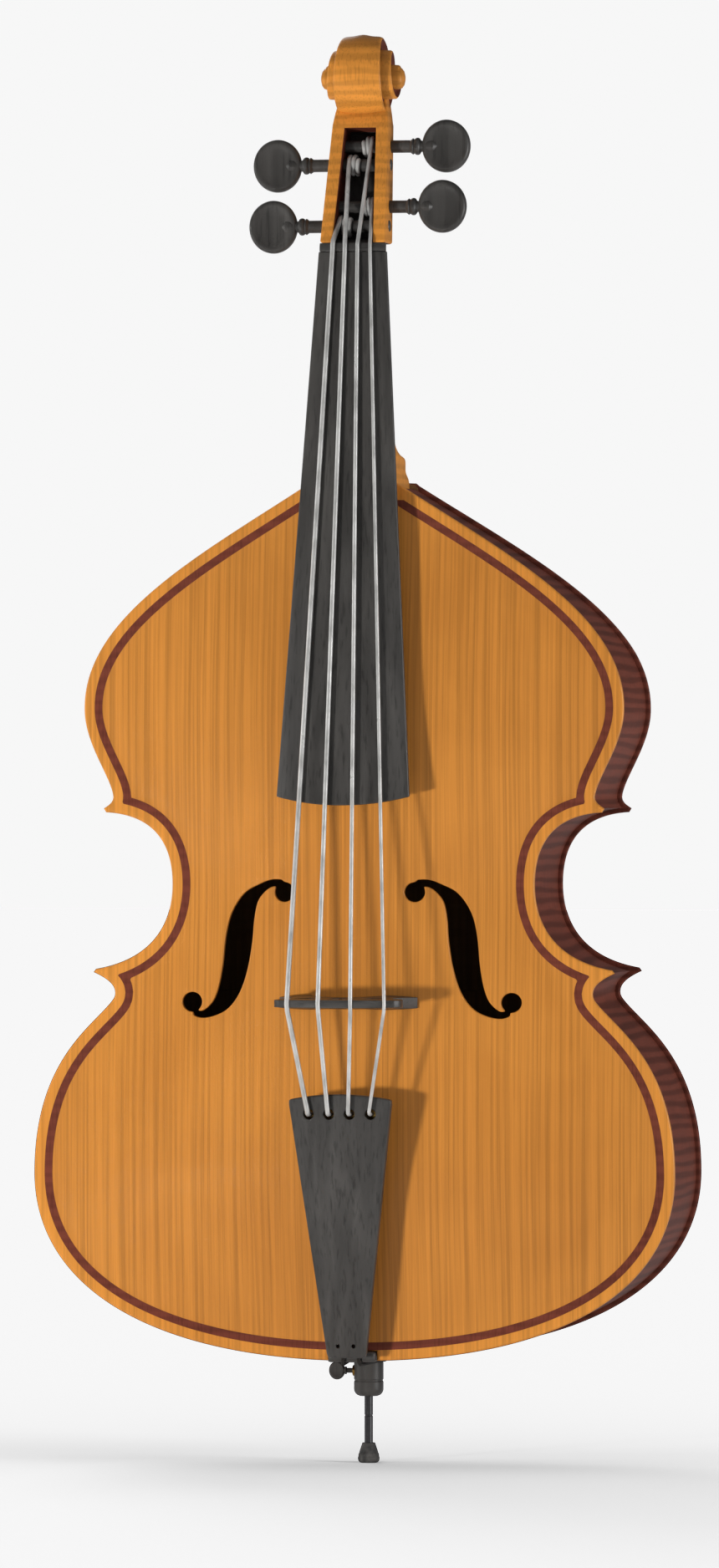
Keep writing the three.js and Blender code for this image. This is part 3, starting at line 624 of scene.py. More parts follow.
def varnished_spruce(name, colour):
    """Straight, close grain up the top, finer towards the middle joint, under a worn satin varnish."""
    surface = Surface(name, 0.4, specular=0.32, coat=0.12, coat_roughness=0.2)
    year_rings = surface.noise(surface.mirrored((230, 8, 1.6)), 3, 0.25)
    fine_grain = surface.noise(surface.mirrored((900, 60, 9)), 2)
    tone = surface.grain((5, 5, 4), 3, 0.4)
    wood = surface.ramp(year_rings, (0.36, shaded(colour, 0.8)), (0.52, colour), (0.66, shaded(colour, 1.1)))
    fine = surface.ramp(fine_grain, (0.3, 0.9), (0.6, 1.0))
    wood = surface.tinted(1.0, wood, fine)
    aged = surface.ramp(tone, (0.3, (0.84, 0.8, 0.74, 1)), (0.58, 1.0))
    surface.colour(surface.tinted(0.8, wood, aged))
    surface.roughness(tone, 0.34, 0.5)
    surface.bump((year_rings, 0.12, 0.3), (fine_grain, 0.05, 0.25))
    return surface.material


def flamed_maple(name, colour, flame=0.28, mirrored=False, gloss=0.02):
    """Broad curls across the grain, fine pores along it, and a satin varnish."""
    surface = Surface(name, 0.4, specular=0.1 + gloss, coat=gloss, coat_roughness=0.2)
    place = surface.mirrored if mirrored else surface.stretched
    curls = surface.bands(place((5, 2, 22)), "Z", 5.5, 2.5, 1.3)
    ripple = surface.noise(place((9, 9, 60)), 3, 0.6)
    pores = surface.noise(place((420, 420, 26)), 2)
    tone = surface.grain((4, 4, 4), 2)
    wood = surface.ramp(curls, (0.15, shaded(colour, 1 - flame)), (0.75, shaded(colour, 1 + flame * 0.55)))
    soft = surface.ramp(ripple, (0.35, 0.82), (0.65, 1.0))
    wood = surface.tinted(0.8, wood, soft)
    specks = surface.ramp(pores, (0.34, 0.72), (0.5, 1.0))
    wood = surface.tinted(0.7, wood, specks)
    surface.colour(surface.tinted(0.7, wood, surface.ramp(tone, (0.35, 0.82), (0.6, 1.0))))
    surface.roughness(ripple, 0.5, 0.64)
    surface.bump((pores, 0.05, 0.3), (curls, 0.1, 0.1))
    return surface.material


def bare_wood(name):
    """Old unvarnished wood inside the body, with saw and plane marks. Its brown is darkened, partly for age
    and partly as painted shade, so the sound holes look dark.
    """
    surface = Surface(name, 0.75, specular=0.25)
    grain = surface.grain((160, 160, 5), 4, 0.3)
    marks = surface.grain((12, 12, 90), 2)
    pale = srgb(132, 98, 62)
    wood = surface.ramp(grain, (0.35, shaded(pale, 0.72)), (0.62, pale))
    surface.colour(surface.tinted(0.5, wood, surface.ramp(marks, (0.35, 0.85), (0.6, 1.0))))
    surface.bump((grain, 0.2, 0.4))
    return surface.material


def ebony(name, colour, roughness=0.36, along=(330, 330, 7)):
    """Nearly black wood with fine long pores and faint brown streaks, polished to a satin."""
    surface = Surface(name, roughness, specular=0.42)
    pores = surface.grain(along)
    streaks = surface.grain(tuple(value / 6 for value in along), 3, 0.5)
    wood = surface.ramp(streaks, (0.35, shaded(colour, 0.72)), (0.55, colour), (0.72, shaded(colour, 1.35)))
    brown = surface.tinted(1.0, wood, (1.0, 0.95, 0.9, 1))
    dark_pores = surface.ramp(pores, (0.32, 0.62), (0.46, 1.0))
    surface.colour(surface.tinted(1.0, brown, dark_pores))
    surface.roughness(pores, roughness + 0.12, roughness - 0.04)
    surface.bump((pores, 0.06, 0.35))
    return surface.material


def wound_steel(name):
    """Flat steel tape wound round a string, seen as fine rings with a little tarnish."""
    surface = Surface(name, 0.3, metallic=0.4)
    rings = surface.bands(surface.stretched((2, 2, 260)), "Z")
    tarnish = surface.grain((60, 60, 30))
    metal = surface.ramp(tarnish, (0.3, srgb(172, 172, 170)), (0.6, srgb(214, 214, 212)))
    surface.colour(surface.tinted(0.5, metal, surface.ramp(rings, (0.1, 0.72), (0.5, 1.0))))
    surface.roughness(tarnish, 0.36, 0.24)
    surface.bump((rings, 0.15, 0.5))
    return surface.material


def brushed_steel(name, colour):
    """A drawn steel rod with fine scratches along and round it."""
    surface = Surface(name, 0.3, metallic=0.9)
    lines = surface.grain((700, 700, 16))
    rub = surface.grain((40, 40, 420), 2)
    metal = surface.ramp(lines, (0.3, shaded(colour, 0.75)), (0.65, shaded(colour, 1.2)))
    surface.colour(surface.tinted(0.5, metal, surface.ramp(rub, (0.35, 0.8), (0.6, 1.0))))
    surface.roughness(rub, 0.42, 0.26)
    surface.bump((lines, 0.04, 0.4))
    return surface.material


def braided_cord(name):
    """The dark braided cover of the tailpiece's cord."""
    surface = Surface(name, 0.7, specular=0.3)
    one_way = surface.bands(surface.stretched((500, 500, 500), (0, 35, 0)), "DIAGONAL")
    other_way = surface.bands(surface.stretched((500, 500, 500), (0, -35, 90)), "DIAGONAL")
    weave = surface.tinted(1.0, one_way, other_way)
    surface.colour(surface.ramp(weave, (0.1, srgb(22, 20, 19)), (0.7, srgb(62, 58, 54))))
    surface.bump((weave, 0.25, 0.8))
    return surface.material


def worn_rubber(name):
    surface = Surface(name, 0.7, specular=0.35)
    dust = surface.grain((90, 90, 90), 4, 0.3)
    grit = surface.grain((900, 900, 900), 2)
    surface.colour(surface.ramp(dust, (0.35, srgb(44, 44, 44)), (0.7, srgb(84, 82, 80))))
    surface.roughness(dust, 0.6, 0.85)
    surface.bump((grit, 0.08, 0.5))
    return surface.material


def brass(name):
    surface = Surface(name, 0.25, metallic=1.0)
    tarnish = surface.grain((150, 150, 150))
    surface.colour(surface.ramp(tarnish, (0.35, srgb(150, 112, 52)), (0.6, srgb(214, 176, 98))))
    surface.roughness(tarnish, 0.4, 0.2)
    return surface.material


FIELD_ORANGE = srgb(195, 127, 51)
EDGE_ORANGE = srgb(208, 136, 54)
# The brown of shaded wood. On the ribs it is partly painted shade of the body's sides and partly their darker
# maple. It is the own wood of the back and the border, and painted shade in the scroll's flutes and the
# pegbox's inner walls.
BROWN = srgb(111, 57, 44)
DARK_GREY = srgb(64, 64, 64)

SPRUCE = varnished_spruce("spruce_field", FIELD_ORANGE)
SPRUCE_EDGE = varnished_spruce("spruce_edge", EDGE_ORANGE)
# The ribs' brown is partly painted shade of the body's sides and partly their darker maple.
RIB_MAPLE = flamed_maple("rib_maple", BROWN)
BACK_MAPLE = flamed_maple("back_maple", BROWN, mirrored=True)
HEAD_MAPLE = flamed_maple("head_maple", shaded(EDGE_ORANGE, 1.14), flame=0.14, gloss=0.12)
# Painted shade: brown maple for the scroll's flutes and the pegbox's inner walls, where shade falls.
SHADE_BROWN_MAPLE = flamed_maple("painted_shade_maple", BROWN, flame=0.12)
INLAY = flamed_maple("inlay_wood", BROWN, flame=0.1)
RAW_WOOD = bare_wood("raw_wood")
EBONY = ebony("ebony", DARK_GREY)
EBONY_ACROSS = ebony("ebony_across", DARK_GREY, along=(7, 330, 330))
# Painted shade: ebony darkened further for the deep floor of the pegbox's channel.
PEGBOX_FLOOR = ebony("pegbox_floor", shaded(DARK_GREY, 0.75), roughness=0.6)
STRING_STEEL = wound_steel("wound_steel")
ROD_STEEL = brushed_steel("rod_steel", srgb(84, 84, 86))
CORD = braided_cord("braided_cord")
RUBBER = worn_rubber("worn_rubber")
BRASS = brass("brass")


# ---- Body: top, back, ribs and the wood inside

EDGE_ROUND = 2.6  # radius of the plates' rounded edges
HOLE_ROUND = 1.6
INLAY_OUTER = 13.5  # from the edge of the plate to the inlaid border
INLAY_INNER = 23.5
INLAY_PROUD = 0.15
INLAY_DEPTH = 1.5
BORDER_TOP = HEEL_BOTTOM - 4  # where the border meets the neck
STRIP_HALF = 3  # of the strip down the middle of the back
CHANNEL_DEPTH = 1.3  # of the shallow channel beside the border
CHANNEL_PLACE = 27
CHANNEL_WIDTH = 11
TOP_SPACING = 6.0
BACK_SPACING = 12.0

# One side of a sound hole: stem width at (distance from the centre line, height)
STEM = [
    ((85.5, 739.6), 9.2),
    ((101, 739.6), 9),
    ((115.5, 732), 13),
    ((129.6, 719), 22.5),
    ((139.4, 695.8), 32),
    ((143.8, 669), 36),
    ((148, 637), 34),
    ((154.7, 609.5), 30),
    ((164.5, 590), 23.5),
    ((177.6, 578.6), 15),
    ((192, 573), 8.6),
    ((203, 576), 8),
]
UPPER_EYE = (83.5, 728.5)
LOWER_EYE = (205, 589)
EYE_HALF = (13.2, 12.6)


def stem_loop():
    middle = through([place for place, _ in STEM], 6)
    widths = through([(width, 0) for _, width in STEM], 6)[:, 0]
    along = np.gradient(middle, axis=0)
    along /= np.linalg.norm(along, axis=1)[:, None]
    normal = np.column_stack([along[:, 1], -along[:, 0]])
    left = middle + normal * widths[:, None] / 2
    right = middle - normal * widths[:, None] / 2
    return np.vstack([left, right[::-1]])


def eye_loop(centre):
    angles = full_circle(40)
    return np.column_stack([np.cos(angles) * EYE_HALF[0], np.sin(angles) * EYE_HALF[1]]) + centre


def outline_round(shapes):
    """The outer loop round overlapping loops."""
    points, edges = [], []
    for loop in shapes:
        start = len(points)
        points += [tuple(p) for p in loop]
        edges += [(start + i, start + (i + 1) % len(loop)) for i in range(len(loop))]
    flat, triangles, middles = triangulated(points, edges)
    kept = triangles[np.any([inside(middles, loop) for loop in shapes], axis=0)]
    sides = {(t[i], t[(i + 1) % 3]) for t in kept.tolist() for i in range(3)}
    following = {a: b for a, b in sides if (b, a) not in sides}
    loop, current = [], min(following, key=lambda i: tuple(flat[i]))
    while current is not None and current not in loop:
        loop.append(current)
        current = following.get(current)
    return flat[loop]


def softened(loop):
    """The same loop with its sharp points worn down."""
    loop = np.array(loop, float)
    return mix(loop, (np.roll(loop, 1, axis=0) + np.roll(loop, -1, axis=0)) / 2, 0.5)


def sound_hole(side):
    loop = outline_round([stem_loop(), eye_loop(UPPER_EYE), eye_loop(LOWER_EYE)])
    closed = np.vstack([loop, loop[:1]])
    return softened(resample(closed, 2.6)[:-1]) * np.array([side, 1])


def top_loop():
    """The edge of the top, with the neck's mortise and the saddle's notch."""
    clear = 2 * GAP
    wide, notch = HEEL_HALF + clear, SADDLE_HALF + clear
    side = OUTLINE[:-1]
    side = side[side[:, 0] > notch + 0.5]
    foot = np.interp(notch, OUTLINE[::-1, 0], OUTLINE[::-1, 1])
    heel, sill = HEEL_BOTTOM - clear, SADDLE_TOP + clear
    mortise = [(0, heel), (wide, heel), (wide, PLATE_TOP), (PLATE_TOP_HALF, PLATE_TOP)]
    right = np.vstack([mortise, side, [(notch, foot), (notch, sill), (0, sill)]])
    left = right[1:-1][::-1] * MIRROR
    return np.vstack([right, left])


def edge_distance(x, z):
    return nearest(np.column_stack([np.abs(x), z]), OUTLINE)


def channelled_top(x, z):
    """The front of the top, with the shallow channel beside its border."""
    distance = edge_distance(x, z)
    scoop = CHANNEL_DEPTH * np.exp(-(((distance - CHANNEL_PLACE) / CHANNEL_WIDTH) ** 2))
    above_foot = smoothstep(z, PLATE_BOTTOM, PLATE_BOTTOM + 60)
    below_neck = 1 - smoothstep(z, PLATE_TOP - 90, PLATE_TOP - 20)
    return top_outer(x, z) + scoop * (above_foot * below_neck)


def border_curve(distance, top=BORDER_TOP):
    """One side's curve of the inlaid border, from the neck round to the middle of the bottom."""
    parts = bouts(distance)
    curve = np.vstack([parts["upper"], parts["waist"][1:], parts["lower"][1:]])
    curve = resample(curve[curve[:, 1] < top], STEP)
    curve[-1, 0] = 0
    return curve


def border_loop():
    return np.vstack([both_sides(border_curve(INLAY_OUTER)), both_sides(border_curve(INLAY_INNER))[::-1]])


def rib_lines():
    """The middle of each rib on both sides. The plates are varnished outside these lines and bare within."""
    lines = []
    for curve in bouts(RIB_MIDDLE).values():
        curve = resample(curve[curve[:, 1] < PLATE_TOP - 10], STEP)[1:-1]
        lines += [curve, curve * MIRROR]
    return lines


def add_top():
    holes = [(sound_hole(side), HOLE_ROUND) for side in (-1, 1)]
    rims = [(top_loop(), EDGE_ROUND), *holes]
    points, faces = plate(rims, channelled_top, top_inner, TOP_SPACING, rib_lines())
    middles = face_middles(points, faces)
    distance = edge_distance(middles[:, 0], middles[:, 2])
    in_border = distance < (INLAY_OUTER + INLAY_INNER) / 2
    is_inside = (middles[:, 1] > top_inner(middles[:, 0], middles[:, 2]) - 0.5) & (distance > RIB_MIDDLE)
    kinds = np.where(is_inside, 2, np.where(in_border, 1, 0))
    nodes = ("top_plate_bass", "top_plate_treble")
    add_piece("top", points, faces, [SPRUCE, SPRUCE_EDGE, RAW_WOOD], "top_varnish", nodes=nodes, kinds=kinds)

    def proud(x, z):
        return channelled_top(x, z) - INLAY_PROUD

    def deep(x, z):
        return channelled_top(x, z) + INLAY_DEPTH

    points, faces = plate([(border_loop(), 0)], proud, deep, None)
    add_piece("top_border", points, faces, [INLAY], "rib_varnish", nodes=())


def back_loop():
    angles = np.radians(np.linspace(90, 12, 24))
    button = np.column_stack([BUTTON_HALF * np.sin(angles), PLATE_TOP + BUTTON_HEIGHT * np.cos(angles)])[::-1]
    shoulder = (PLATE_TOP_HALF, PLATE_TOP - 0.5)
    right = np.vstack([(0, PLATE_TOP + BUTTON_HEIGHT), button, shoulder, OUTLINE[:-1]])
    return np.vstack([right, (0, PLATE_BOTTOM), right[1:][::-1] * MIRROR])


def add_back():
    def inner(x, z):
        return back_plane(z) + GAP

    def outer(x, z):
        return back_plane(z) + GAP + BACK_THICKNESS

    def proud(x, z):
        return outer(x, z) + INLAY_PROUD

    def deep(x, z):
        return outer(x, z) - INLAY_DEPTH

    half = half_width(BREAK_HEIGHT) - RIB_MIDDLE - 3
    across = np.linspace(-half, half, 60)
    ridge = [np.array([(x, BREAK_HEIGHT + step) for x in across]) for step in (-3, 0, 3)]
    points, faces = plate([(back_loop(), EDGE_ROUND)], inner, outer, BACK_SPACING, ridge + rib_lines())
    middles = face_middles(points, faces)
    within_ribs = edge_distance(middles[:, 0], middles[:, 2]) > RIB_MIDDLE
    kinds = np.where((middles[:, 1] < back_plane(middles[:, 2]) + 1) & within_ribs, 1, 0)
    woods = [BACK_MAPLE, RAW_WOOD]
    add_piece("back", points, faces, woods, "rib_varnish", nodes=("back_plate",), kinds=kinds, sharp=30)
    top = BORDER_TOP - INLAY_INNER + INLAY_OUTER
    outside = both_sides(border_curve(INLAY_OUTER))
    within = both_sides(border_curve(INLAY_INNER, top))
    points, faces = plate([(outside, 0), (within, 0)], deep, proud, None)
    add_piece("back_border", points, faces, [EBONY], "ebony", nodes=())
    low, high = PLATE_BOTTOM + INLAY_INNER + 0.5, top - 1
    heights = np.concatenate([np.linspace(low, BREAK_HEIGHT, 40), np.linspace(BREAK_HEIGHT, high, 20)[1:]])
    rings = []
    for z in heights:
        floor, face = deep(0, z), proud(0, z)
        corners = ((-1, floor), (1, floor), (1, face), (-1, face))
        rings.append([(side * STRIP_HALF, y, z) for side, y in corners])
    add_piece("back_centre_strip", *loft(rings), [EBONY], "ebony", nodes=())


def add_rib(name, curve, opposite, side):
    """A bent strip of maple between two curves, from the top to the back."""
    plan = np.vstack([curve, opposite[::-1]]) * np.array([side, 1])
    rings = []
    for share in np.linspace(0, 1, RIB_ROWS):
        back = back_plane(plan[:, 1]) - GAP
        depth = mix(RIB_FRONT + GAP, back, share)
        rings.append([(x, y, z) for (x, z), y in zip(plan, depth)])
    points, faces = loft(rings)
    count = len(plan)
    strip = [f for f in faces if len(f) == 4]
    ends = []
    for row in (0, RIB_ROWS - 1):
        for i in range(len(curve) - 1):
            start = row * count
            ends.append((start + i, start + i + 1, start + count - 2 - i, start + count - 1 - i))
    add_piece(name, points, strip + ends, [RIB_MAPLE], "rib_varnish")


def add_ribs():
    outside, within = bouts(OVERHANG), bouts(OVERHANG + RIB_THICKNESS)
    for word, side in (("bass", -1), ("treble", 1)):
        for bout in ("upper", "waist", "lower"):
            outer, inner = outside[bout], within[bout]
            places, known = np.linspace(0, 1, len(outer)), np.linspace(0, 1, len(inner))
            inner = np.column_stack([np.interp(places, known, inner[:, k]) for k in (0, 1)])
            add_rib(f"{bout}_rib_{word}", outer, inner, side)


def finish_wood_inside():
    """The pieces inside keep their shape and get bare wood."""
    for name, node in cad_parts.items():
        if any(word in name for word in ("lining", "block", "brace", "bass_bar", "sound_post")):
            node.data.materials.clear()
            node.data.materials.append(RAW_WOOD)


# ---- Neck, fingerboard and nut

NUT_PROUD = 1.2  # how far the nut stands up between its grooves
NUT_GROOVE = 0.35  # wider than the string all round
GLUE_AT_NUT = -106
GLUE_SLOPE = 0.098

# Height, half width, back and squareness of the neck's sections, from the nut down to the foot of the heel
NECK_SECTIONS = [
    (1549.6, 41, -73, 2.0),
    (1500, 44, -77, 2.0),
    (1450, 47, -81, 2.0),
    (1400, 50, -84.5, 2.0),
    (1350, 53, -88, 2.0),
    (1330, 54.4, -88.5, 2.1),
    (1314, 54.8, -82, 2.3),
    (1300, 54.2, -64, 2.6),
    (1290, 53.4, -36, 3.0),
    (1283, 52.7, 0, 3.5),
    (1278, 52, 42.9, 4.0),
    (1262, 50, 46.9, 5.0),
    (1250, 50, 49.9, 8.0),
    (HEEL_BOTTOM, 50, 54.9, 8.0),
]


def glue_plane(height):
    return GLUE_AT_NUT - GLUE_SLOPE * (NUT_HEIGHT - height)


def crown_drop(x):
    return x**2 / (2 * CROWN_RADIUS)


def board_half(height):
    along = (NUT_HEIGHT - height) / (NUT_HEIGHT - BOARD_BOTTOM)
    return mix(BOARD_TOP_WIDTH, BOARD_BOTTOM_WIDTH, along) / 2


def add_neck():
    rings = []
    for height, half, back, power in through(NECK_SECTIONS, 6):
        front = glue_plane(height) + GAP
        ring = []
        for angle in np.linspace(0, np.pi, 41):
            across = math.copysign(abs(math.cos(angle)) ** (2 / power), math.cos(angle))
            ring.append((across * half, front + (back - front) * abs(math.sin(angle)) ** (2 / power), height))
        rings.append(ring)
    neck = add_piece("neck", *loft(rings), [HEAD_MAPLE], "head_varnish")
    bevel(neck, 0.8, 2)


def add_fingerboard():
    columns = 26
    rings = []
    top = NUT_HEIGHT - NUT_LENGTH - GAP
    for share in np.linspace(0, 1, 60):
        ring = []
        base = mix(top, BOARD_BOTTOM, share)
        half = board_half(base)
        spread = np.linspace(-half, half, columns + 1)
        relief = 0.8 * math.sin(math.pi * share)
        for x, is_front in [(x, True) for x in spread] + [(x, False) for x in spread[::-1]]:
            low = base - share**4 * BOARD_TONGUE * (1 - (x / half) ** 2)
            thickness = BOARD_EDGE + crown_drop(half) - crown_drop(x) - relief if is_front else 0
            ring.append((x, glue_plane(low) - thickness, low))
        rings.append(ring)
    board = add_piece("fingerboard", *loft(rings), [EBONY], "ebony", sharp=35)
    bevel(board, 1.6, 3)


def add_nut():
    """The nut, with a groove for each string."""
    half = BOARD_TOP_WIDTH / 2 - 1
    low, high = NUT_HEIGHT - NUT_LENGTH, NUT_HEIGHT + 0.5
    spread = np.linspace(-half, half, 161)
    rings = []
    for height in np.linspace(low, high, 12):
        share = (height - low) / (high - low)
        round_over = 3 * share**3 + 0.9 * (1 - share) ** 4
        front = STRING_AT_NUT + STRING_SEAT - NUT_PROUD + crown_drop(spread) + round_over
        for radius, place in STRINGS.values():
            away = np.abs(spread - place * NUT_SPACING)
            groove = radius + NUT_GROOVE
            depth = np.sqrt(np.maximum(0, groove**2 - away**2))
            floor = STRING_AT_NUT + crown_drop(spread) + depth + round_over * 0.6
            front = np.where(away < groove, np.maximum(front, floor), front)
        ring = [(x, y, height) for x, y in zip(spread, front)]
        ring += [(half, glue_plane(height), height), (-half, glue_plane(height), height)]
        rings.append(ring)
    add_piece("nut", *loft(rings), [EBONY_ACROSS], "ebony", sharp=50)


# ---- Head: an open pegbox that leans back, and a scroll

PEGBOX_TOP = 1708
PEGBOX_HALF = (42, 36)
PEGBOX_DEPTH = (63, 48)
CHEEK = 16
# Height and depth of the channel's floor
CHANNEL = [(1550, 6), (1553, 16), (1558, 46), (1692, 46), (1695, 40), (1697, 20), (1698.5, 0.5), (1702, 0.3)]
CHANNEL_TOP = 1699  # heights where the inside of the channel ends and where its ramp does
CHANNEL_RAMP = 1559
CHANNEL_FLOOR = 40  # deeper faces belong to the floor
BACK_CORNER = 13
BACK_CROWN = 1.5
SCROLL_Y = -38
SCROLL_HEIGHT = 1762
SPIRAL_START = math.radians(205)  # from the front over the top to where the spiral leaves the pegbox
SPIRAL_RADIUS = 62
SPIRAL_FALL = 19  # of the radius in one turn
SPIRAL_TURNS = 2.5
TURN_STEPS = 72
EYE_RADIUS = 14.5
EYE_REACH = 54
CROWN_BULGE = 3.2
CORNER_FADE = 0.16  # of a turn in which the pegbox's round corners sharpen
FLUTE_DEPTH = 4.2
EDGE_WIDTH = 2.4
FLUTING = 2.2  # depth of the two hollows down the nape, between these turns
FLUTING_START = (0.0, 0.1)
FLUTING_END = (0.22, 0.42)
FLUTE_START = 0.2  # of a turn
NAPE_CORNER = 12
NAPE_OVERLAP = 0.03  # of a turn that the scroll starts inside the pegbox, sunk below its skin
NAPE_SINK = 5
# How far the edge of the spiral stands out sideways, after a number of turns
SPIRAL_WIDTHS = [
    *[(0, 27.5), (0.2, 25.5), (0.32, 25.5), (0.57, 30.5), (0.82, 31)],
    *[(1.07, 34), (1.32, 38), (1.6, 42), (2.0, 46), (2.6, 49.5)],
]
# Depth and height of the nape's front and back, and its half width
NAPE = [
    (-57, 1708, -10.3, 1707, 35.4),
    (-52, 1718, -7.0, 1714, 34),
    (-47, 1728, -1.4, 1720, 32),
    (-43, 1737, 5.6, 1725.2, 30),
    (-40, 1746, 12.6, 1730.2, 28.4),
    (-38, 1754, 18.2, 1735.8, 27.5),
    (-38, 1757, 18.6, 1747.7, 25),
]
# Radius and place along the axis of the scroll's eye
EYE_DOME = [(0, 0), (5, 0.3), (9.5, 1.6), (12.6, 4), (EYE_RADIUS - 0.4, 8)]


def head_front(height):
    return HEAD_FRONT + HEAD_LEAN * (height - HEAD_BOTTOM)


def peg_depth(height):
    return head_front(height) + PEG_DEPTH


def pegbox_half(height):
    return mix(*PEGBOX_HALF, (height - HEAD_BOTTOM) / (PEGBOX_TOP - HEAD_BOTTOM))


def arc(centre, radius, start, end, steps=5):
    angles = np.radians(np.linspace(start, end, steps))
    return [(centre[0] + radius * math.cos(a), centre[1] + radius * math.sin(a)) for a in angles]


def pegbox_half_ring(half, channel, front, depth, floor):
    """The right half of a section, from the middle of the back round to the middle of the floor."""
    ease, corner = 3.0, min(BACK_CORNER, depth / 3)
    back = front + depth
    lip = min(2.0, floor * 0.45)
    side = [(0, back + BACK_CROWN), (half * 0.5, back + 1.0)]
    side += arc((half - corner, back - corner), corner, 80, 0, 7)
    side += arc((half - ease, front + ease), ease, 0, -90)
    side += arc((channel + lip, front + lip), lip, 270, 180)
    side += [(channel, front + floor * 0.6), (channel - 0.5, front + floor - 0.1 * lip)]
    side += [(channel - 3 * lip, front + floor), (0, front + floor)]
    return side


def add_pegbox():
    low, high = [HEAD_BOTTOM, 1550.6, 1551.6, 1553, 1555, 1558], [1692, 1695, 1697, 1698.5, 1702]
    heights = [*low, *np.linspace(1564, 1690, 22), *high]
    floors = np.array(CHANNEL, float)
    rings = []
    for height in heights:
        rounding = 2.0 * max(0, 1 - (height - HEAD_BOTTOM) / 2.5) ** 2
        half = pegbox_half(height) - rounding
        depth = mix(*PEGBOX_DEPTH, (height - HEAD_BOTTOM) / (PEGBOX_TOP - HEAD_BOTTOM)) - rounding
        channel = pegbox_half(height) - CHEEK
        floor = np.interp(height, floors[:, 0], floors[:, 1])
        right = pegbox_half_ring(half, channel, head_front(height) + rounding * 0.4, depth, floor)
        ring = right + [(-x, y) for x, y in right[-2:0:-1]]
        rings.append([(x, y, height) for x, y in ring])
    top_half, top_depth = PEGBOX_HALF[1], PEGBOX_DEPTH[1] + BACK_CROWN
    start = np.array(pegbox_half_ring(top_half, top_half - CHEEK, 0, PEGBOX_DEPTH[1], 0.3))
    start = np.vstack([start, start[-2:0:-1] * MIRROR])
    for front_y, front_z, back_y, back_z, half in NAPE:
        front, back = np.array((front_y, front_z)), np.array((back_y, back_z))
        ring = []
        for x, along in start:
            y, z = front + (back - front) * min(along, top_depth) / top_depth
            ring.append((x * half / top_half, y, z))
        rings.append(ring)
    points, faces = loft(rings)
    # Faces inside the channel get painted shade: brown on the walls and darker ebony on the floor.
    kinds = []
    for face in faces:
        x, y, z = np.mean([points[i] for i in face], axis=0)
        channel = pegbox_half(z) - CHEEK
        depth = y - head_front(z)
        hidden = abs(x) < channel + 0.5 and 3 < depth < PEGBOX_DEPTH[1] - 1.5 and z < CHANNEL_TOP
        is_floor = depth > CHANNEL_FLOOR or z < CHANNEL_RAMP
        kinds.append(0 if not hidden else 2 if is_floor else 1)
    woods = [HEAD_MAPLE, SHADE_BROWN_MAPLE, PEGBOX_FLOOR]
    add_piece("pegbox", points, faces, woods, "head_varnish", nodes=("head",), kinds=kinds, sharp=32)


def spiral_place(turns, radius, x):
    angle = SPIRAL_START - 2 * math.pi * turns
    return (x, SCROLL_Y - radius * math.cos(angle), SCROLL_HEIGHT + radius * math.sin(angle))


def spiral_radius(turns):
    return SPIRAL_RADIUS - SPIRAL_FALL * turns - NAPE_SINK * max(0, -turns / NAPE_OVERLAP)


